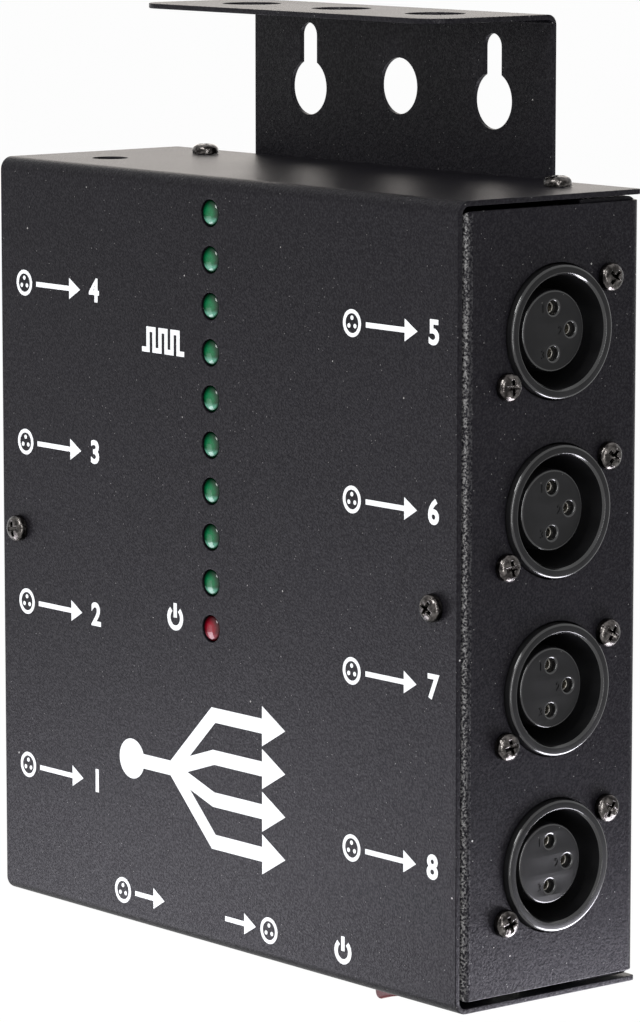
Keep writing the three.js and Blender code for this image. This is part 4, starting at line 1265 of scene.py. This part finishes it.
class SPLITTER_OT_bracket(SheetMaker, bpy.types.Operator):
    """Fold the hanging bracket: a plate with keyholes and a shelf with three holes"""

    bl_idname = "splitter.bracket"
    bl_label = "Hanging bracket"

    def execute(self, context):
        low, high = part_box("hanging_bracket")
        path = [(high.y, low.z), (high.y, high.z), (low.y, high.z)]
        fold = FoldedSheet(path, sizes().sheet, sizes().bracket_bend)
        half = high.x
        foot, front = BRACKET_FOOT_CORNER, BRACKET_CORNER
        end = fold.flat_length - front
        steps = SHELF_CORNER_STEPS
        outline = arc_points((foot, foot - half), foot, 2 * QUARTER, 3 * QUARTER, CORNER_STEPS)
        outline += arc_points((end, front - half), front, 3 * QUARTER, 4 * QUARTER, steps)
        outline += arc_points((end, half - front), front, 0, QUARTER, steps)
        outline += arc_points((foot, half - foot), foot, QUARTER, 2 * QUARTER, CORNER_STEPS)
        shelf_at = fold.along(1, SHELF_HOLE_FROM_WALL)
        holes = [round_hole((fold.along(0, HANG_HOLE_RISE - low.z), 0), HANG_HOLE)]
        for side in (-1, 1):
            holes.append(self.keyhole(fold.along(0, KEYHOLE_RISE - low.z), side * HANG_PITCH))
        for step in (-1, 0, 1):
            holes.append(round_hole((shelf_at, step * HANG_PITCH), SHELF_HOLE))
        for node in nodes_named("bracket_screw"):
            point = middle_of(node)
            holes.append(round_hole((fold.along(0, point.z - low.z), point.x), BRACKET_SCREW_HOLE))
        work = fold.build([outline, *holes], sizes().cut_edge, lambda a, b, x: (x, a, b))
        self.add_sheet("hanging_bracket", [work], "bracket_paint", powder_coat())
        return {"FINISHED"}

    def keyhole(self, along, across):
        """A closed clockwise keyhole whose neck points up the plate."""
        head, neck = HANG_HOLE / 2, KEYHOLE_NECK / 2
        opening = math.asin(neck / head)
        tip = along + KEYHOLE_LENGTH - neck
        points = arc_points((along, across), head, opening, 2 * math.pi - opening, KEYHOLE_STEPS)
        points += arc_points((tip, across), neck, -QUARTER, QUARTER, NECK_STEPS)
        return points[::-1]


class SPLITTER_OT_sockets(Maker, bpy.types.Operator):
    """Mould the output sockets and the link socket, with their contacts and small numbers"""

    bl_idname = "splitter.sockets"
    bl_label = "Sockets"

    def execute(self, context):
        mesh = self.moulding()
        sleeves = self.contact_sleeves()
        marks = self.contact_marks()
        sockets = [node for node in nodes_named("output_socket", "link_socket") if "screw" not in node]
        for node in sockets:
            seat = seat_of(node)
            new_piece(f"{node}_moulding", mesh, socket_black(), "socket_moulding", [node], seat)
            new_piece(f"{node}_contacts", sleeves, tinned_contact(), "bright_steel", (), seat)
            new_piece(f"{node}_numbers", marks, moulded_black(), "socket_moulding", (), seat)
        return {"FINISHED"}

    def moulding(self):
        """The body with its insert: a round block with three holes, whose edges are rounded."""
        hole, foot = sizes().contact_hole, -sizes().well_depth - INSERT_ROOT
        outline = round_hole((0, 0), sizes().insert, FINE_STEPS)[::-1]
        holes = [round_hole(spot.translation.xy, hole, SMALL_STEPS) for spot in contact_spots()]
        insert = plate([outline, *holes], foot, -INSERT_SINK, INSERT_EDGE, edge_steps=3)
        return mesh_from("socket_moulding", merged(socket_body(sizes().well), insert))

    def contact_sleeves(self):
        """The metal sleeves inside the contact holes."""
        outer, inner = sizes().contact_hole / 2 - SLEEVE_PLAY, CONTACT_BORE / 2
        top = -INSERT_SINK - SLEEVE_SINK
        foot = -INSERT_SINK - CONTACT_DEPTH + SLEEVE_FOOT_GAP
        rim = [(outer, top, SLEEVE_EDGE), (inner, top, SLEEVE_EDGE)]
        profile = soft_profile([(inner, foot), (outer, foot), *rim, (inner, foot)])
        return mesh_from("socket_contacts", at_contacts(profile))

    def contact_marks(self):
        """The small raised numbers beside the contacts."""
        beside = Matrix.Translation((*MARK_ASIDE, -INSERT_SINK))
        marks = []
        for number, spot in enumerate(contact_spots(), 1):
            marks.append(text_solid(str(number), MARK_HEIGHT, MARK_RISE, spot @ beside))
        return mesh_from("socket_numbers", merged(*marks))


def contact_spots():
    """Where the contacts stand in a socket: above, behind and below its middle."""
    radius = sizes().contact_circle / 2
    spots = []
    for degrees in (90, 0, -90):
        angle = math.radians(degrees)
        spots.append(Matrix.Translation((radius * math.cos(angle), radius * math.sin(angle), 0)))
    return spots


def at_contacts(profile):
    """A turned form at each contact's spot."""
    return merged(*[moved(turned(profile, SMALL_STEPS), spot) for spot in contact_spots()])


def socket_body(well_diameter):
    """A socket's body about Z: a round barrel with a rounded rim and a well, on a flange that lies
    behind the sheet."""
    rim, well = sizes().rim / 2, well_diameter / 2
    behind = -sizes().sheet - SEAT_GAP
    profile = soft_profile(
        [
            (0, -BARREL_DEPTH),
            (BARREL / 2, -BARREL_DEPTH, BARREL_EDGE),
            (BARREL / 2, behind - BARREL_EDGE),
            (rim, behind - BARREL_EDGE),
            (rim, RIM_RISE, RIM_EDGE),
            (well + MOUTH_WIDTH, RIM_RISE + MOUTH_RISE, MOUTH_EDGE),
            (well, RIM_RISE - MOUTH_DEPTH),
            (well, -sizes().well_depth, WELL_EDGE),
            (0, -sizes().well_depth),
        ]
    )
    body = turned(profile, FINE_STEPS)
    outline = rounded_box((0, 0), FLANGE_LONG, FLANGE_SHORT, FLANGE_CORNER)
    holes = [round_hole((0, 0), BARREL - FLANGE_OVERLAP)]
    for side in (-1, 1):
        holes.append(round_hole((side * SCREW_LONG / 2, side * SCREW_SHORT / 2), SCREW_HOLE))
    flange = plate([outline, *holes], behind - FLANGE_SHEET, behind, FLANGE_EDGE)
    return merged(body, flange)


def text_solid(text, height, thickness, matrix, weight=0.0):
    """Figures as a solid, centred on the matrix' origin and standing up from its plane."""
    curve = bpy.data.curves.new("figures", "FONT")
    curve.body = text
    curve.size = height / FIGURE_SHARE
    curve.align_x = "CENTER"
    curve.align_y = "CENTER"
    curve.extrude = thickness / 2
    curve.offset = weight
    curve.resolution_u = 4
    return from_curve(curve, matrix @ Matrix.Translation((0, 0, thickness / 2)))


class SPLITTER_OT_plug(Maker, bpy.types.Operator):
    """Mould the input plug and its three pins"""

    bl_idname = "splitter.plug"
    bl_label = "Input plug"

    def execute(self, context):
        seat = seat_of("input_plug")
        mesh = mesh_from("input_plug_moulding", socket_body(PLUG_WELL))
        new_piece("input_plug_moulding", mesh, moulded_black(), "socket_moulding", ["input_plug"], seat)
        radius, depth = PLUG_PIN / 2, sizes().well_depth
        foot, tip = -depth - SEAT_GAP, PLUG_PIN_LENGTH - depth
        profile = soft_profile([(0, foot), (radius, foot), (radius, tip, PLUG_PIN_TIP), (0, tip)])
        pins = mesh_from("input_plug_pins", at_contacts(profile))
        new_piece("input_plug_pins", pins, tinned_contact(), "bright_steel", (), seat)
        return {"FINISHED"}


class SPLITTER_OT_screws(Maker, bpy.types.Operator):
    """Turn the pan-head and countersunk screws, each stopped at its own angle"""

    bl_idname = "splitter.screws"
    bl_label = "Screws"

    def execute(self, context):
        pan_recess = self.recess(sizes().screw_rise + SEAT_LIFT)
        pan = carved(mesh_from("pan_screw", self.pan_head()), pan_recess)
        flat = carved(mesh_from("flat_screw", self.flat_head()), self.recess(-SEAT_LIFT))
        screws = [node for node in nodes_named("") if "_screw_" in node]
        for i, node in enumerate(screws):
            angle = Matrix.Rotation(i * SCREW_TURN, 4, "Z")
            mesh = flat if node.startswith("bracket_screw") else pan
            new_piece(f"{node}_head", mesh, black_nickel(), "screw_steel", [node], seat_of(node) @ angle)
        return {"FINISHED"}

    def pan_head(self):
        """A shank under a domed head, whose edge is fuller than a round dome's."""
        radius, rise = sizes().screw_head / 2, sizes().screw_rise
        shank = SCREW_SHANK / 2
        profile = [(0, -SCREW_LENGTH), (shank, -SCREW_LENGTH), (shank, SEAT_LIFT), (radius, SEAT_LIFT)]
        dome = DOME_SHARE * rise
        edge = SEAT_LIFT + rise - dome
        for i in range(DOME_STEPS):
            angle = QUARTER * i / DOME_STEPS
            profile.append((radius * math.cos(angle) ** DOME_FULLNESS, edge + dome * math.sin(angle)))
        profile.append((0, SEAT_LIFT + rise))
        return turned(profile, ROUND_STEPS)

    def flat_head(self):
        """A shank under a countersunk head."""
        shank = SCREW_SHANK / 2
        profile = [
            (0, -SCREW_LENGTH),
            (shank, -SCREW_LENGTH),
            (shank, -FLAT_HEAD_RISE - SEAT_LIFT),
            (FLAT_HEAD / 2, -SEAT_LIFT - FLAT_HEAD_LAND),
            (FLAT_HEAD / 2, -SEAT_LIFT),
            (0, -SEAT_LIFT),
        ]
        return turned(profile, ROUND_STEPS)

    def recess(self, top):
        """A cross of two slots whose arms narrow and shorten towards the bottom."""
        works = []
        for angle in (0, QUARTER):
            work = bmesh.new()
            rings = []
            for height, arm, wide in (
                (top + RECESS_OVERRUN, RECESS_SPAN / 2, RECESS_WIDTH / 2),
                (top - RECESS_STRAIGHT, RECESS_SPAN / 2, RECESS_WIDTH / 2),
                (top - RECESS_DEPTH, RECESS_FOOT_ARM, RECESS_FOOT_HALF),
            ):
                corners = [(-arm, -wide), (arm, -wide), (arm, wide), (-arm, wide)]
                rings.append([work.verts.new((x, y, height)) for x, y in corners])
            work.faces.new(rings[0])
            work.faces.new(rings[-1][::-1])
            for high, low in zip(rings, rings[1:]):
                for i in range(4):
                    j = (i + 1) % 4
                    work.faces.new([high[i], low[i], low[j], high[j]])
            bmesh.ops.recalc_face_normals(work, faces=work.faces)
            works.append(moved(work, Matrix.Rotation(angle, 4, "Z")))
        return merged(*works)


class SPLITTER_OT_lamps(Maker, bpy.types.Operator):
    """Mould the lamps' lenses on their collars, with their legs"""

    bl_idname = "splitter.lamps"
    bl_label = "Lamps"

    def execute(self, context):
        legs = mesh_from("lamp_legs", self.legs())
        for start, slot, material in (
            ("power_lamp", "red_lens", red_lens()),
            ("signal_lamp", "green_lens", green_lens()),
        ):
            body = mesh_from(f"{slot}_body", self.body())
            for node in nodes_named(start):
                seat = seat_of(node)
                new_piece(f"{node}_lens", body, material, slot, [node], seat)
                new_piece(f"{node}_legs", legs, tinned_contact(), "bright_steel", (), seat)
        return {"FINISHED"}

    def foot(self):
        """How far behind the front a lamp's collar ends."""
        return LAMP_PROUD - sizes().lamp / 2 - LAMP_BODY

    def body(self):
        """A lens with a low dome in front and a collar behind."""
        radius = sizes().lamp / 2 - LENS_EASE
        base = LAMP_PROUD - LENS_RISE
        foot, top = self.foot(), self.foot() + COLLAR_RISE
        collar = LAMP_COLLAR / 2
        profile = [
            (0, foot),
            (collar, foot),
            (collar, top - COLLAR_EDGE),
            (collar - COLLAR_EDGE, top),
            (radius, top),
        ]
        for i in range(LENS_STEPS):
            angle = QUARTER * i / LENS_STEPS
            profile.append((radius * math.cos(angle), base + LENS_RISE * math.sin(angle)))
        profile.append((0, LAMP_PROUD))
        return turned(profile, ROUND_STEPS)

    def legs(self):
        """Two square legs that reach from the collar to the main board."""
        board = CASE_LOW.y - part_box("main_board")[0].y + SEAT_GAP
        works = []
        for side in (-1, 1):
            outline = rounded_box((side * LEG_OUT, 0), LEG, LEG, LEG_CORNER, steps=2)
            works.append(plate([outline], board, self.foot() + LEG_OVERLAP))
        return merged(*works)


class SPLITTER_OT_switch(Maker, bpy.types.Operator):
    """Mould the switch housing and its red rocker with its two marks"""

    bl_idname = "splitter.switch"
    bl_label = "Power switch"

    def execute(self, context):
        joint = next(joint for joint in frame["joints"] if joint["child"] == ROCKER_BODY)
        pivot = Vector(joint["pos_m"])
        across = Matrix(((1, 0, 0), (0, -1, 0), (0, 0, -1))).to_4x4()
        seat = Matrix.Translation(pivot) @ across
        low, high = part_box("switch_housing")
        name, nodes = "switch_housing_moulding", ["switch_housing"]
        mesh = mesh_from(name, self.housing(high - low))
        new_piece(name, mesh, moulded_black(), "socket_moulding", nodes, seat)
        tilted = seat @ Matrix.Rotation(ROCKER_TILT, 4, "Y")
        name, nodes = "power_rocker_moulding", ["power_rocker"]
        rocker = mesh_from(name, self.rocker(), ROCKER_SHARP_DEGREES)
        new_piece(name, rocker, rocker_red(), "rocker_red", nodes, tilted, ROCKER_BODY)
        marks = mesh_from("power_rocker_marks", self.marks())
        new_piece("power_rocker_marks", marks, white_ink(), "rocker_red", (), tilted, ROCKER_BODY)
        return {"FINISHED"}

    def housing(self, size):
        """A bezel outside the case and an open box with two blades inside it, about the pivot."""
        middle = (0, 0)
        pocket = square_hole(middle, POCKET_LONG, POCKET_WIDE, POCKET_CORNER)
        outline = rounded_box(middle, size.x, size.y, BEZEL_CORNER)
        bezel = plate([outline, pocket], SEAT_GAP, BEZEL_RISE, BEZEL_EDGE)
        long, wide = POCKET_LONG + 2 * SWITCH_WALL, POCKET_WIDE + 2 * SWITCH_WALL
        outline = rounded_box(middle, long, wide, SWITCH_BODY_CORNER)
        wall = plate([outline, pocket], -POCKET_DEPTH, SEAT_GAP + WALL_OVERLAP)
        floor = plate([outline], -SWITCH_DEPTH, -POCKET_DEPTH + FLOOR_OVERLAP, FLOOR_EDGE)
        blades = []
        for side in (-1, 1):
            spot = (side * BLADE_SPREAD / 2, 0)
            outline = rounded_box(spot, BLADE_SHEET, BLADE_WIDTH, BLADE_CORNER)
            foot = -SWITCH_DEPTH - BLADE_LENGTH
            blades.append(plate([outline], foot, -SWITCH_DEPTH + BLADE_OVERLAP))
        return merged(bezel, wall, floor, *blades)

    def dish(self):
        """How deep the rocker's hollow is in its middle."""
        return ROCKER_LONG / 2 * math.tan(DISH_ANGLE)

    def rocker(self):
        """A block with rounded ends and a shallow roof-shaped hollow, cut along its width."""
        end, wide, top = ROCKER_LONG / 2, ROCKER_WIDE / 2, ROCKER_RISE
        centre = (end - ROCKER_TIP, top - ROCKER_TIP)
        ends = arc_points(centre, ROCKER_TIP, 0, QUARTER - ROCKER_TIP_EASE, ROCKER_TIP_STEPS)
        hollow = []
        for i in range(1, DISH_STEPS):
            x = (end - ROCKER_TIP_LAND) * (1 - 2 * i / DISH_STEPS)
            hollow.append((x, top - self.dish() * math.cos(QUARTER * x / end)))
        other = [(-x, z) for x, z in reversed(ends)]
        outline = [(-end, -ROCKER_ROOT), (end, -ROCKER_ROOT), *ends, *hollow, *other]
        body = plate([outline], -wide, wide, ROCKER_EDGE)
        return moved(body, Matrix.Rotation(QUARTER, 4, "X"))

    def marks(self):
        """I and O, printed on the two halves of the rocker."""
        reach = ROCKER_LONG / 4
        height = ROCKER_RISE - self.dish() * math.cos(QUARTER / 2)
        slope = self.dish() * QUARTER / (ROCKER_LONG / 2) * math.sin(QUARTER / 2)
        works = []
        bar = [rounded_box((0, 0), MARK_BAR, MARK_LONG, MARK_BAR_CORNER)]
        ring = [round_hole((0, 0), MARK_LONG)[::-1], round_hole((0, 0), MARK_RING_HOLE)]
        for side, outlines in ((-1, bar), (1, ring)):
            at = Matrix.Translation((side * reach, 0, height))
            lean = Matrix.Rotation(-side * math.atan(slope), 4, "Y")
            works.append(moved(plate(outlines, -MARK_SINK, MARK_PROUD), at @ lean))
        return merged(*works)


class SPLITTER_OT_jack(Maker, bpy.types.Operator):
    """Turn the power jack with its flange, bore and centre pin"""

    bl_idname = "splitter.jack"
    bl_label = "Power jack"

    def execute(self, context):
        low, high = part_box("power_jack")
        foot, rise = CASE_LOW.z - high.z, CASE_LOW.z - low.z
        floor = rise - JACK_BORE_DEPTH
        flange = (high.x - low.x) / 2
        profile = soft_profile(
            [
                (0, foot),
                (JACK_BARREL / 2, foot, JACK_BARREL_EDGE),
                (JACK_BARREL / 2, SEAT_GAP),
                (flange, SEAT_GAP),
                (flange, rise, JACK_FLANGE_EDGE),
                (JACK_MOUTH / 2, rise, JACK_MOUTH_EDGE),
                (JACK_BORE / 2, rise - JACK_MOUTH_DEPTH),
                (JACK_BORE / 2, floor),
                (JACK_PIN_SEAT / 2, floor),
                (JACK_PIN_SEAT / 2, floor + JACK_PIN_SEAT_RISE),
                (0, floor + JACK_PIN_SEAT_RISE),
            ]
        )
        seat = seat_of("power_jack")
        mesh = mesh_from("power_jack_moulding", turned(profile, ROUND_STEPS))
        new_piece("power_jack_moulding", mesh, moulded_black(), "socket_moulding", ["power_jack"], seat)
        radius = JACK_PIN / 2
        pin = soft_profile([(0, floor), (radius, floor), (radius, 0, JACK_PIN_TIP), (0, 0)])
        mesh = mesh_from("power_jack_pin", turned(pin, SMALL_STEPS))
        new_piece("power_jack_pin", mesh, tinned_contact(), "bright_steel", (), seat)
        return {"FINISHED"}


class SPLITTER_OT_signs(Maker, bpy.types.Operator):
    """Print the signs on the front: numbers, arrows, a wave, power signs and a branching sign"""

    bl_idname = "splitter.signs"
    bl_label = "Printed signs"

    def execute(self, context):
        shapes, figures = [], []
        columns = {
            LEFT_LABELS_X: zip(LEFT_LABELS_Z, "4321"),
            RIGHT_LABELS_X: zip(RIGHT_LABELS_Z, "5678"),
        }
        for x, labels in columns.items():
            for z, number in labels:
                shapes += self.socket_sign(x + RING_FROM_LABEL, z)
                shapes += self.arrow(x + ARROW_FROM_LABEL, x + ARROW_PAST_LABEL, z)
                spot = Matrix.Translation((x + NUMBER_FROM_LABEL, z, 0))
                height = sizes().label_height
                figures.append(text_solid(number, height, sizes().ink, spot, FIGURE_WEIGHT))
        shapes += self.wave(*WAVE_SPOT)
        shapes += self.power_sign(*POWER_LAMP_SPOT)
        shapes += self.power_sign(*POWER_SPOT)
        x, z = LINK_SPOT
        shapes += self.socket_sign(x - RING_FROM_SHORT_ARROW, z)
        shapes += self.arrow(x - SHORT_ARROW_NEAR, x + SHORT_ARROW_FAR, z)
        x, z = INPUT_SPOT
        shapes += self.arrow(x - SHORT_ARROW_FAR, x + SHORT_ARROW_NEAR, z)
        shapes += self.socket_sign(x + RING_FROM_SHORT_ARROW, z)
        shapes += self.branching_sign()
        works = [plate(outlines, 0, sizes().ink) for outlines in shapes]
        face = facing("front", (0, CASE_LOW.y, 0))
        mesh = mesh_from("front_signs", moved(merged(*works, *figures), face))
        new_piece("front_signs", mesh, white_ink(), "case_paint")
        return {"FINISHED"}

    def stroke(self, points, width):
        """The outline of a bent line of even width."""
        path = [Vector(point) for point in points]
        left, right = [], []
        for i, point in enumerate(path):
            before = (point - path[i - 1]).normalized() if i else None
            after = (path[i + 1] - point).normalized() if i + 1 < len(path) else None
            ahead = before or after
            mean = (ahead + (after or before)).normalized()
            side = Vector((-mean.y, mean.x)) * (width / 2) / max(mean.dot(ahead), MITRE_LIMIT)
            left.append(tuple(point + side))
            right.append(tuple(point - side))
        return right + left[::-1]

    def socket_sign(self, x, z):
        """A ring with three dots."""
        size = SIGN_RING
        shapes = [[round_hole((x, z), size)[::-1], round_hole((x, z), size - 2 * RING_STROKE)]]
        for degrees in (90, 210, 330):
            angle = math.radians(degrees)
            spot = (x + SIGN_DOT_REACH * math.cos(angle), z + SIGN_DOT_REACH * math.sin(angle))
            shapes.append([round_hole(spot, SIGN_DOT, SMALL_STEPS)[::-1]])
        return shapes

    def arrow(self, start, end, z):
        """A straight arrow to the right."""
        half, neck, wing = STROKE / 2, end - ARROW_HEAD, ARROW_WING
        lower = [(start, z - half), (neck, z - half), (neck, z - wing), (end, z)]
        upper = [(x, 2 * z - y) for x, y in reversed(lower[:-1])]
        return [[lower + upper]]

    def wave(self, x, z):
        """A square wave with three pulses."""
        points = []
        for i in range(WAVE_STROKES):
            level = z + (WAVE_HEIGHT / 2 if i % 2 else -WAVE_HEIGHT / 2)
            start = x + (i - WAVE_STROKES / 2) * WAVE_STEP
            points += [(start, level), (start + WAVE_STEP, level)]
        return [[self.stroke(points, STROKE)]]

    def power_sign(self, x, z):
        """A broken ring with an upright bar in its gap."""
        start, end = QUARTER + POWER_OPENING, 5 * QUARTER - POWER_OPENING
        turn = arc_points((x, z), POWER_RING / 2, start, end, POWER_STEPS)
        bar = [(x, z + POWER_BAR_START), (x, z + POWER_BAR)]
        return [[self.stroke(turn, STROKE)], [self.stroke(bar, STROKE)]]

    def branching_sign(self):
        """One outline in place of a title: a dot and a line that fans out to four arrows."""
        x, z = BRANCH_SPOT
        half = BRANCH_STROKE / 2
        level_way = Vector((1, 0))
        dot = Vector((x - BRANCH_WIDTH / 2 + BRANCH_DOT / 2, z))
        fork = Vector((x - BRANCH_WIDTH / 2 + FORK_REACH, z))
        tip = x + BRANCH_WIDTH / 2
        neck = tip - BRANCH_HEAD
        opening = math.asin(2 * half / BRANCH_DOT)
        outline = arc_points(dot, BRANCH_DOT / 2, opening, 4 * QUARTER - opening, BRANCH_DOT_STEPS)
        edge, edge_way = fork - Vector((0, half)), level_way
        for step in (-3, -1, 1, 3):
            level = z + step * BRANCH_SPREAD / 6
            way = Vector((FAN_REACH, level - z)).normalized()
            side = Vector((-way.y, way.x)) * half
            below, above = Vector((neck, level - half)), Vector((neck, level + half))
            outline.append(crossing(edge, edge_way, fork - side, way))
            outline.append(crossing(fork - side, way, below, level_way))
            outline += [below, (neck, level - BRANCH_WING), (tip, level)]
            outline += [(neck, level + BRANCH_WING), above]
            outline.append(crossing(fork + side, way, above, level_way))
            edge, edge_way = fork + side, way
        outline.append(crossing(edge, edge_way, fork + Vector((0, half)), level_way))
        return [[outline]]


def crossing(point, way, other, other_way):
    """Where two lines meet."""
    across = Vector((-other_way.y, other_way.x))
    return point + way * ((other - point).dot(across) / way.dot(across))


class SPLITTER_OT_inside(Maker, bpy.types.Operator):
    """Finish the boards and parts inside the case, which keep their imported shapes"""

    bl_idname = "splitter.inside"
    bl_label = "Inside"

    def execute(self, context):
        finishes = {
            "main_board": solder_mask,
            "left_socket_board": solder_mask,
            "right_socket_board": solder_mask,
            "smoothing_capacitor": blue_sleeve,
            "voltage_regulator": moulded_black,
            "power_jack_nut": zinc_plate,
        }
        for node, finish in finishes.items():
            mesh = frame["nodes"][node].data
            mesh.materials.clear()
            mesh.materials.append(finish())
        return {"FINISHED"}


class SPLITTER_OT_stage(Maker, bpy.types.Operator):
    """Set up the camera, the floor, the room's light and the lamps"""

    bl_idname = "splitter.stage"
    bl_label = "Stage"

    def execute(self, context):
        scene = context.scene
        scene.view_settings.view_transform = "Standard"
        self.add_camera(scene)
        self.add_floor()
        self.light_room(scene)
        for name, lamp in LAMPS.items():
            self.add_lamp(f"{name}_lamp", getattr(scene.splitter_stage, name), *lamp)
        return {"FINISHED"}

    def direction(self, azimuth, elevation):
        """Towards an azimuth, 0 in front of the case and 90 at its right side."""
        a, e = math.radians(azimuth), math.radians(elevation)
        return Vector((math.sin(a) * math.cos(e), -math.cos(a) * math.cos(e), math.sin(e)))

    def set_up(self, data, place, away):
        """Adds a camera or a lamp that looks back along a direction."""
        thing = bpy.data.objects.new(data.name, data)
        bpy.context.scene.collection.objects.link(thing)
        thing.location = place
        thing.rotation_mode = "QUATERNION"
        thing.rotation_quaternion = (-away).to_track_quat("-Z", "Y")
        return thing

    def add_camera(self, scene):
        """The camera, as it was fitted to the photograph."""
        data = bpy.data.cameras.new("camera")
        data.sensor_width = CAMERA_SENSOR
        data.lens = CAMERA_LENS
        away = self.direction(CAMERA_AZIMUTH, CAMERA_ELEVATION)
        scene.camera = self.set_up(data, CAMERA_PLACE, away)

    def add_lamp(self, name, power, azimuth, elevation, distance, width, height, shade):
        """A soft lamp that looks at the middle of the case."""
        data = bpy.data.lights.new(name, "AREA")
        data.energy = power
        data.color = shade
        data.shape = "RECTANGLE"
        data.size = width
        data.size_y = height
        away = self.direction(azimuth, elevation)
        lamp = self.set_up(data, (CASE_LOW + CASE_HIGH) / 2 + away * distance, away)
        lamp.visible_camera = False

    def add_floor(self):
        """A wide pale floor below the case, which hangs over it."""
        work = bmesh.new()
        bmesh.ops.create_grid(work, x_segments=1, y_segments=1, size=FLOOR_REACH)
        floor = bpy.data.objects.new("floor", mesh_from("floor", work))
        floor.location.z = FLOOR_Z
        bpy.context.scene.collection.objects.link(floor)
        floor.data.materials.append(self.pale_floor())

    def pale_floor(self):
        """Pale board that keeps shadows and reads as the white background elsewhere. From below it
        is clear, so that the underside of the case can be looked at."""
        finish = Finish("pale_floor")
        cloud = finish.noise(finish.place(), 0.25, detail=2)
        board = finish.node(
            "ShaderNodeBsdfPrincipled",
            values={
                "Base Color": finish.mix(cloud, (0.86, 0.86, 0.86), (0.89, 0.89, 0.89)),
                "Roughness": 0.7,
                "Specular IOR Level": 0.1,
            },
        )
        level = bpy.context.scene.splitter_stage.backdrop
        glow = finish.node("ShaderNodeEmission", values={"Strength": level * GLOW})
        seen = seen_directly(finish)
        both = finish.node("ShaderNodeMixShader", values={0: seen * GLOW_SHARE, 1: board, 2: glow})
        below = finish.node("ShaderNodeNewGeometry", output="Backfacing")
        clear = finish.node("ShaderNodeBsdfTransparent")
        board = finish.node("ShaderNodeMixShader", values={0: below, 1: both, 2: clear})
        finish.node("ShaderNodeOutputMaterial", values={"Surface": board})
        return finish.material

    def light_room(self, scene):
        """A white room for the camera and for reflections, and soft light for everything else."""
        world = bpy.data.worlds.new("room")
        scene.world = world
        world.use_nodes = True
        room = RoomFinish(world)
        stage = scene.splitter_stage
        strength = stage.surround + seen_directly(room) * (stage.backdrop - stage.surround)
        look = {"Color": (*WHITE_LIGHT, 1), "Strength": strength}
        background = room.node("ShaderNodeBackground", values=look)
        room.node("ShaderNodeOutputWorld", values={"Surface": background})


OPERATORS = [
    SPLITTER_OT_cover,
    SPLITTER_OT_chassis,
    SPLITTER_OT_bracket,
    SPLITTER_OT_sockets,
    SPLITTER_OT_plug,
    SPLITTER_OT_screws,
    SPLITTER_OT_lamps,
    SPLITTER_OT_switch,
    SPLITTER_OT_jack,
    SPLITTER_OT_signs,
    SPLITTER_OT_inside,
    SPLITTER_OT_stage,
]


class SPLITTER_PT_panel(bpy.types.Panel):
    """The splitter's operators and their values"""

    bl_idname = "SPLITTER_PT_panel"
    bl_label = "Signal splitter"
    bl_space_type = "VIEW_3D"
    bl_region_type = "UI"
    bl_category = "Splitter"

    def draw(self, context):
        scene = context.scene
        for title, group in (
            ("Sizes", scene.splitter_sizes),
            ("Colours", scene.splitter_colours),
            ("Studio", scene.splitter_stage),
        ):
            box = self.layout.box()
            box.label(text=title)
            for name in group.bl_rna.properties.keys():
                if name not in ("rna_type", "name"):
                    box.prop(group, name)
        for operator in OPERATORS:
            self.layout.operator(operator.bl_idname)


CLASSES = [SplitterSizes, SplitterColours, SplitterStage, *OPERATORS, SPLITTER_PT_panel]
GROUPS = {
    "splitter_sizes": SplitterSizes,
    "splitter_colours": SplitterColours,
    "splitter_stage": SplitterStage,
}


def register():
    for item in CLASSES:
        bpy.utils.register_class(item)
    for name, group in GROUPS.items():
        setattr(bpy.types.Scene, name, bpy.props.PointerProperty(type=group))


def unregister():
    for name in GROUPS:
        delattr(bpy.types.Scene, name)
    for item in reversed(CLASSES):
        bpy.utils.unregister_class(item)


def main():
    """Registers the add-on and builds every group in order."""
    register()
    for operator in OPERATORS:
        group, name = operator.bl_idname.split(".")
        getattr(getattr(bpy.ops, group), name)()


if __name__ == "__main__":
    main()
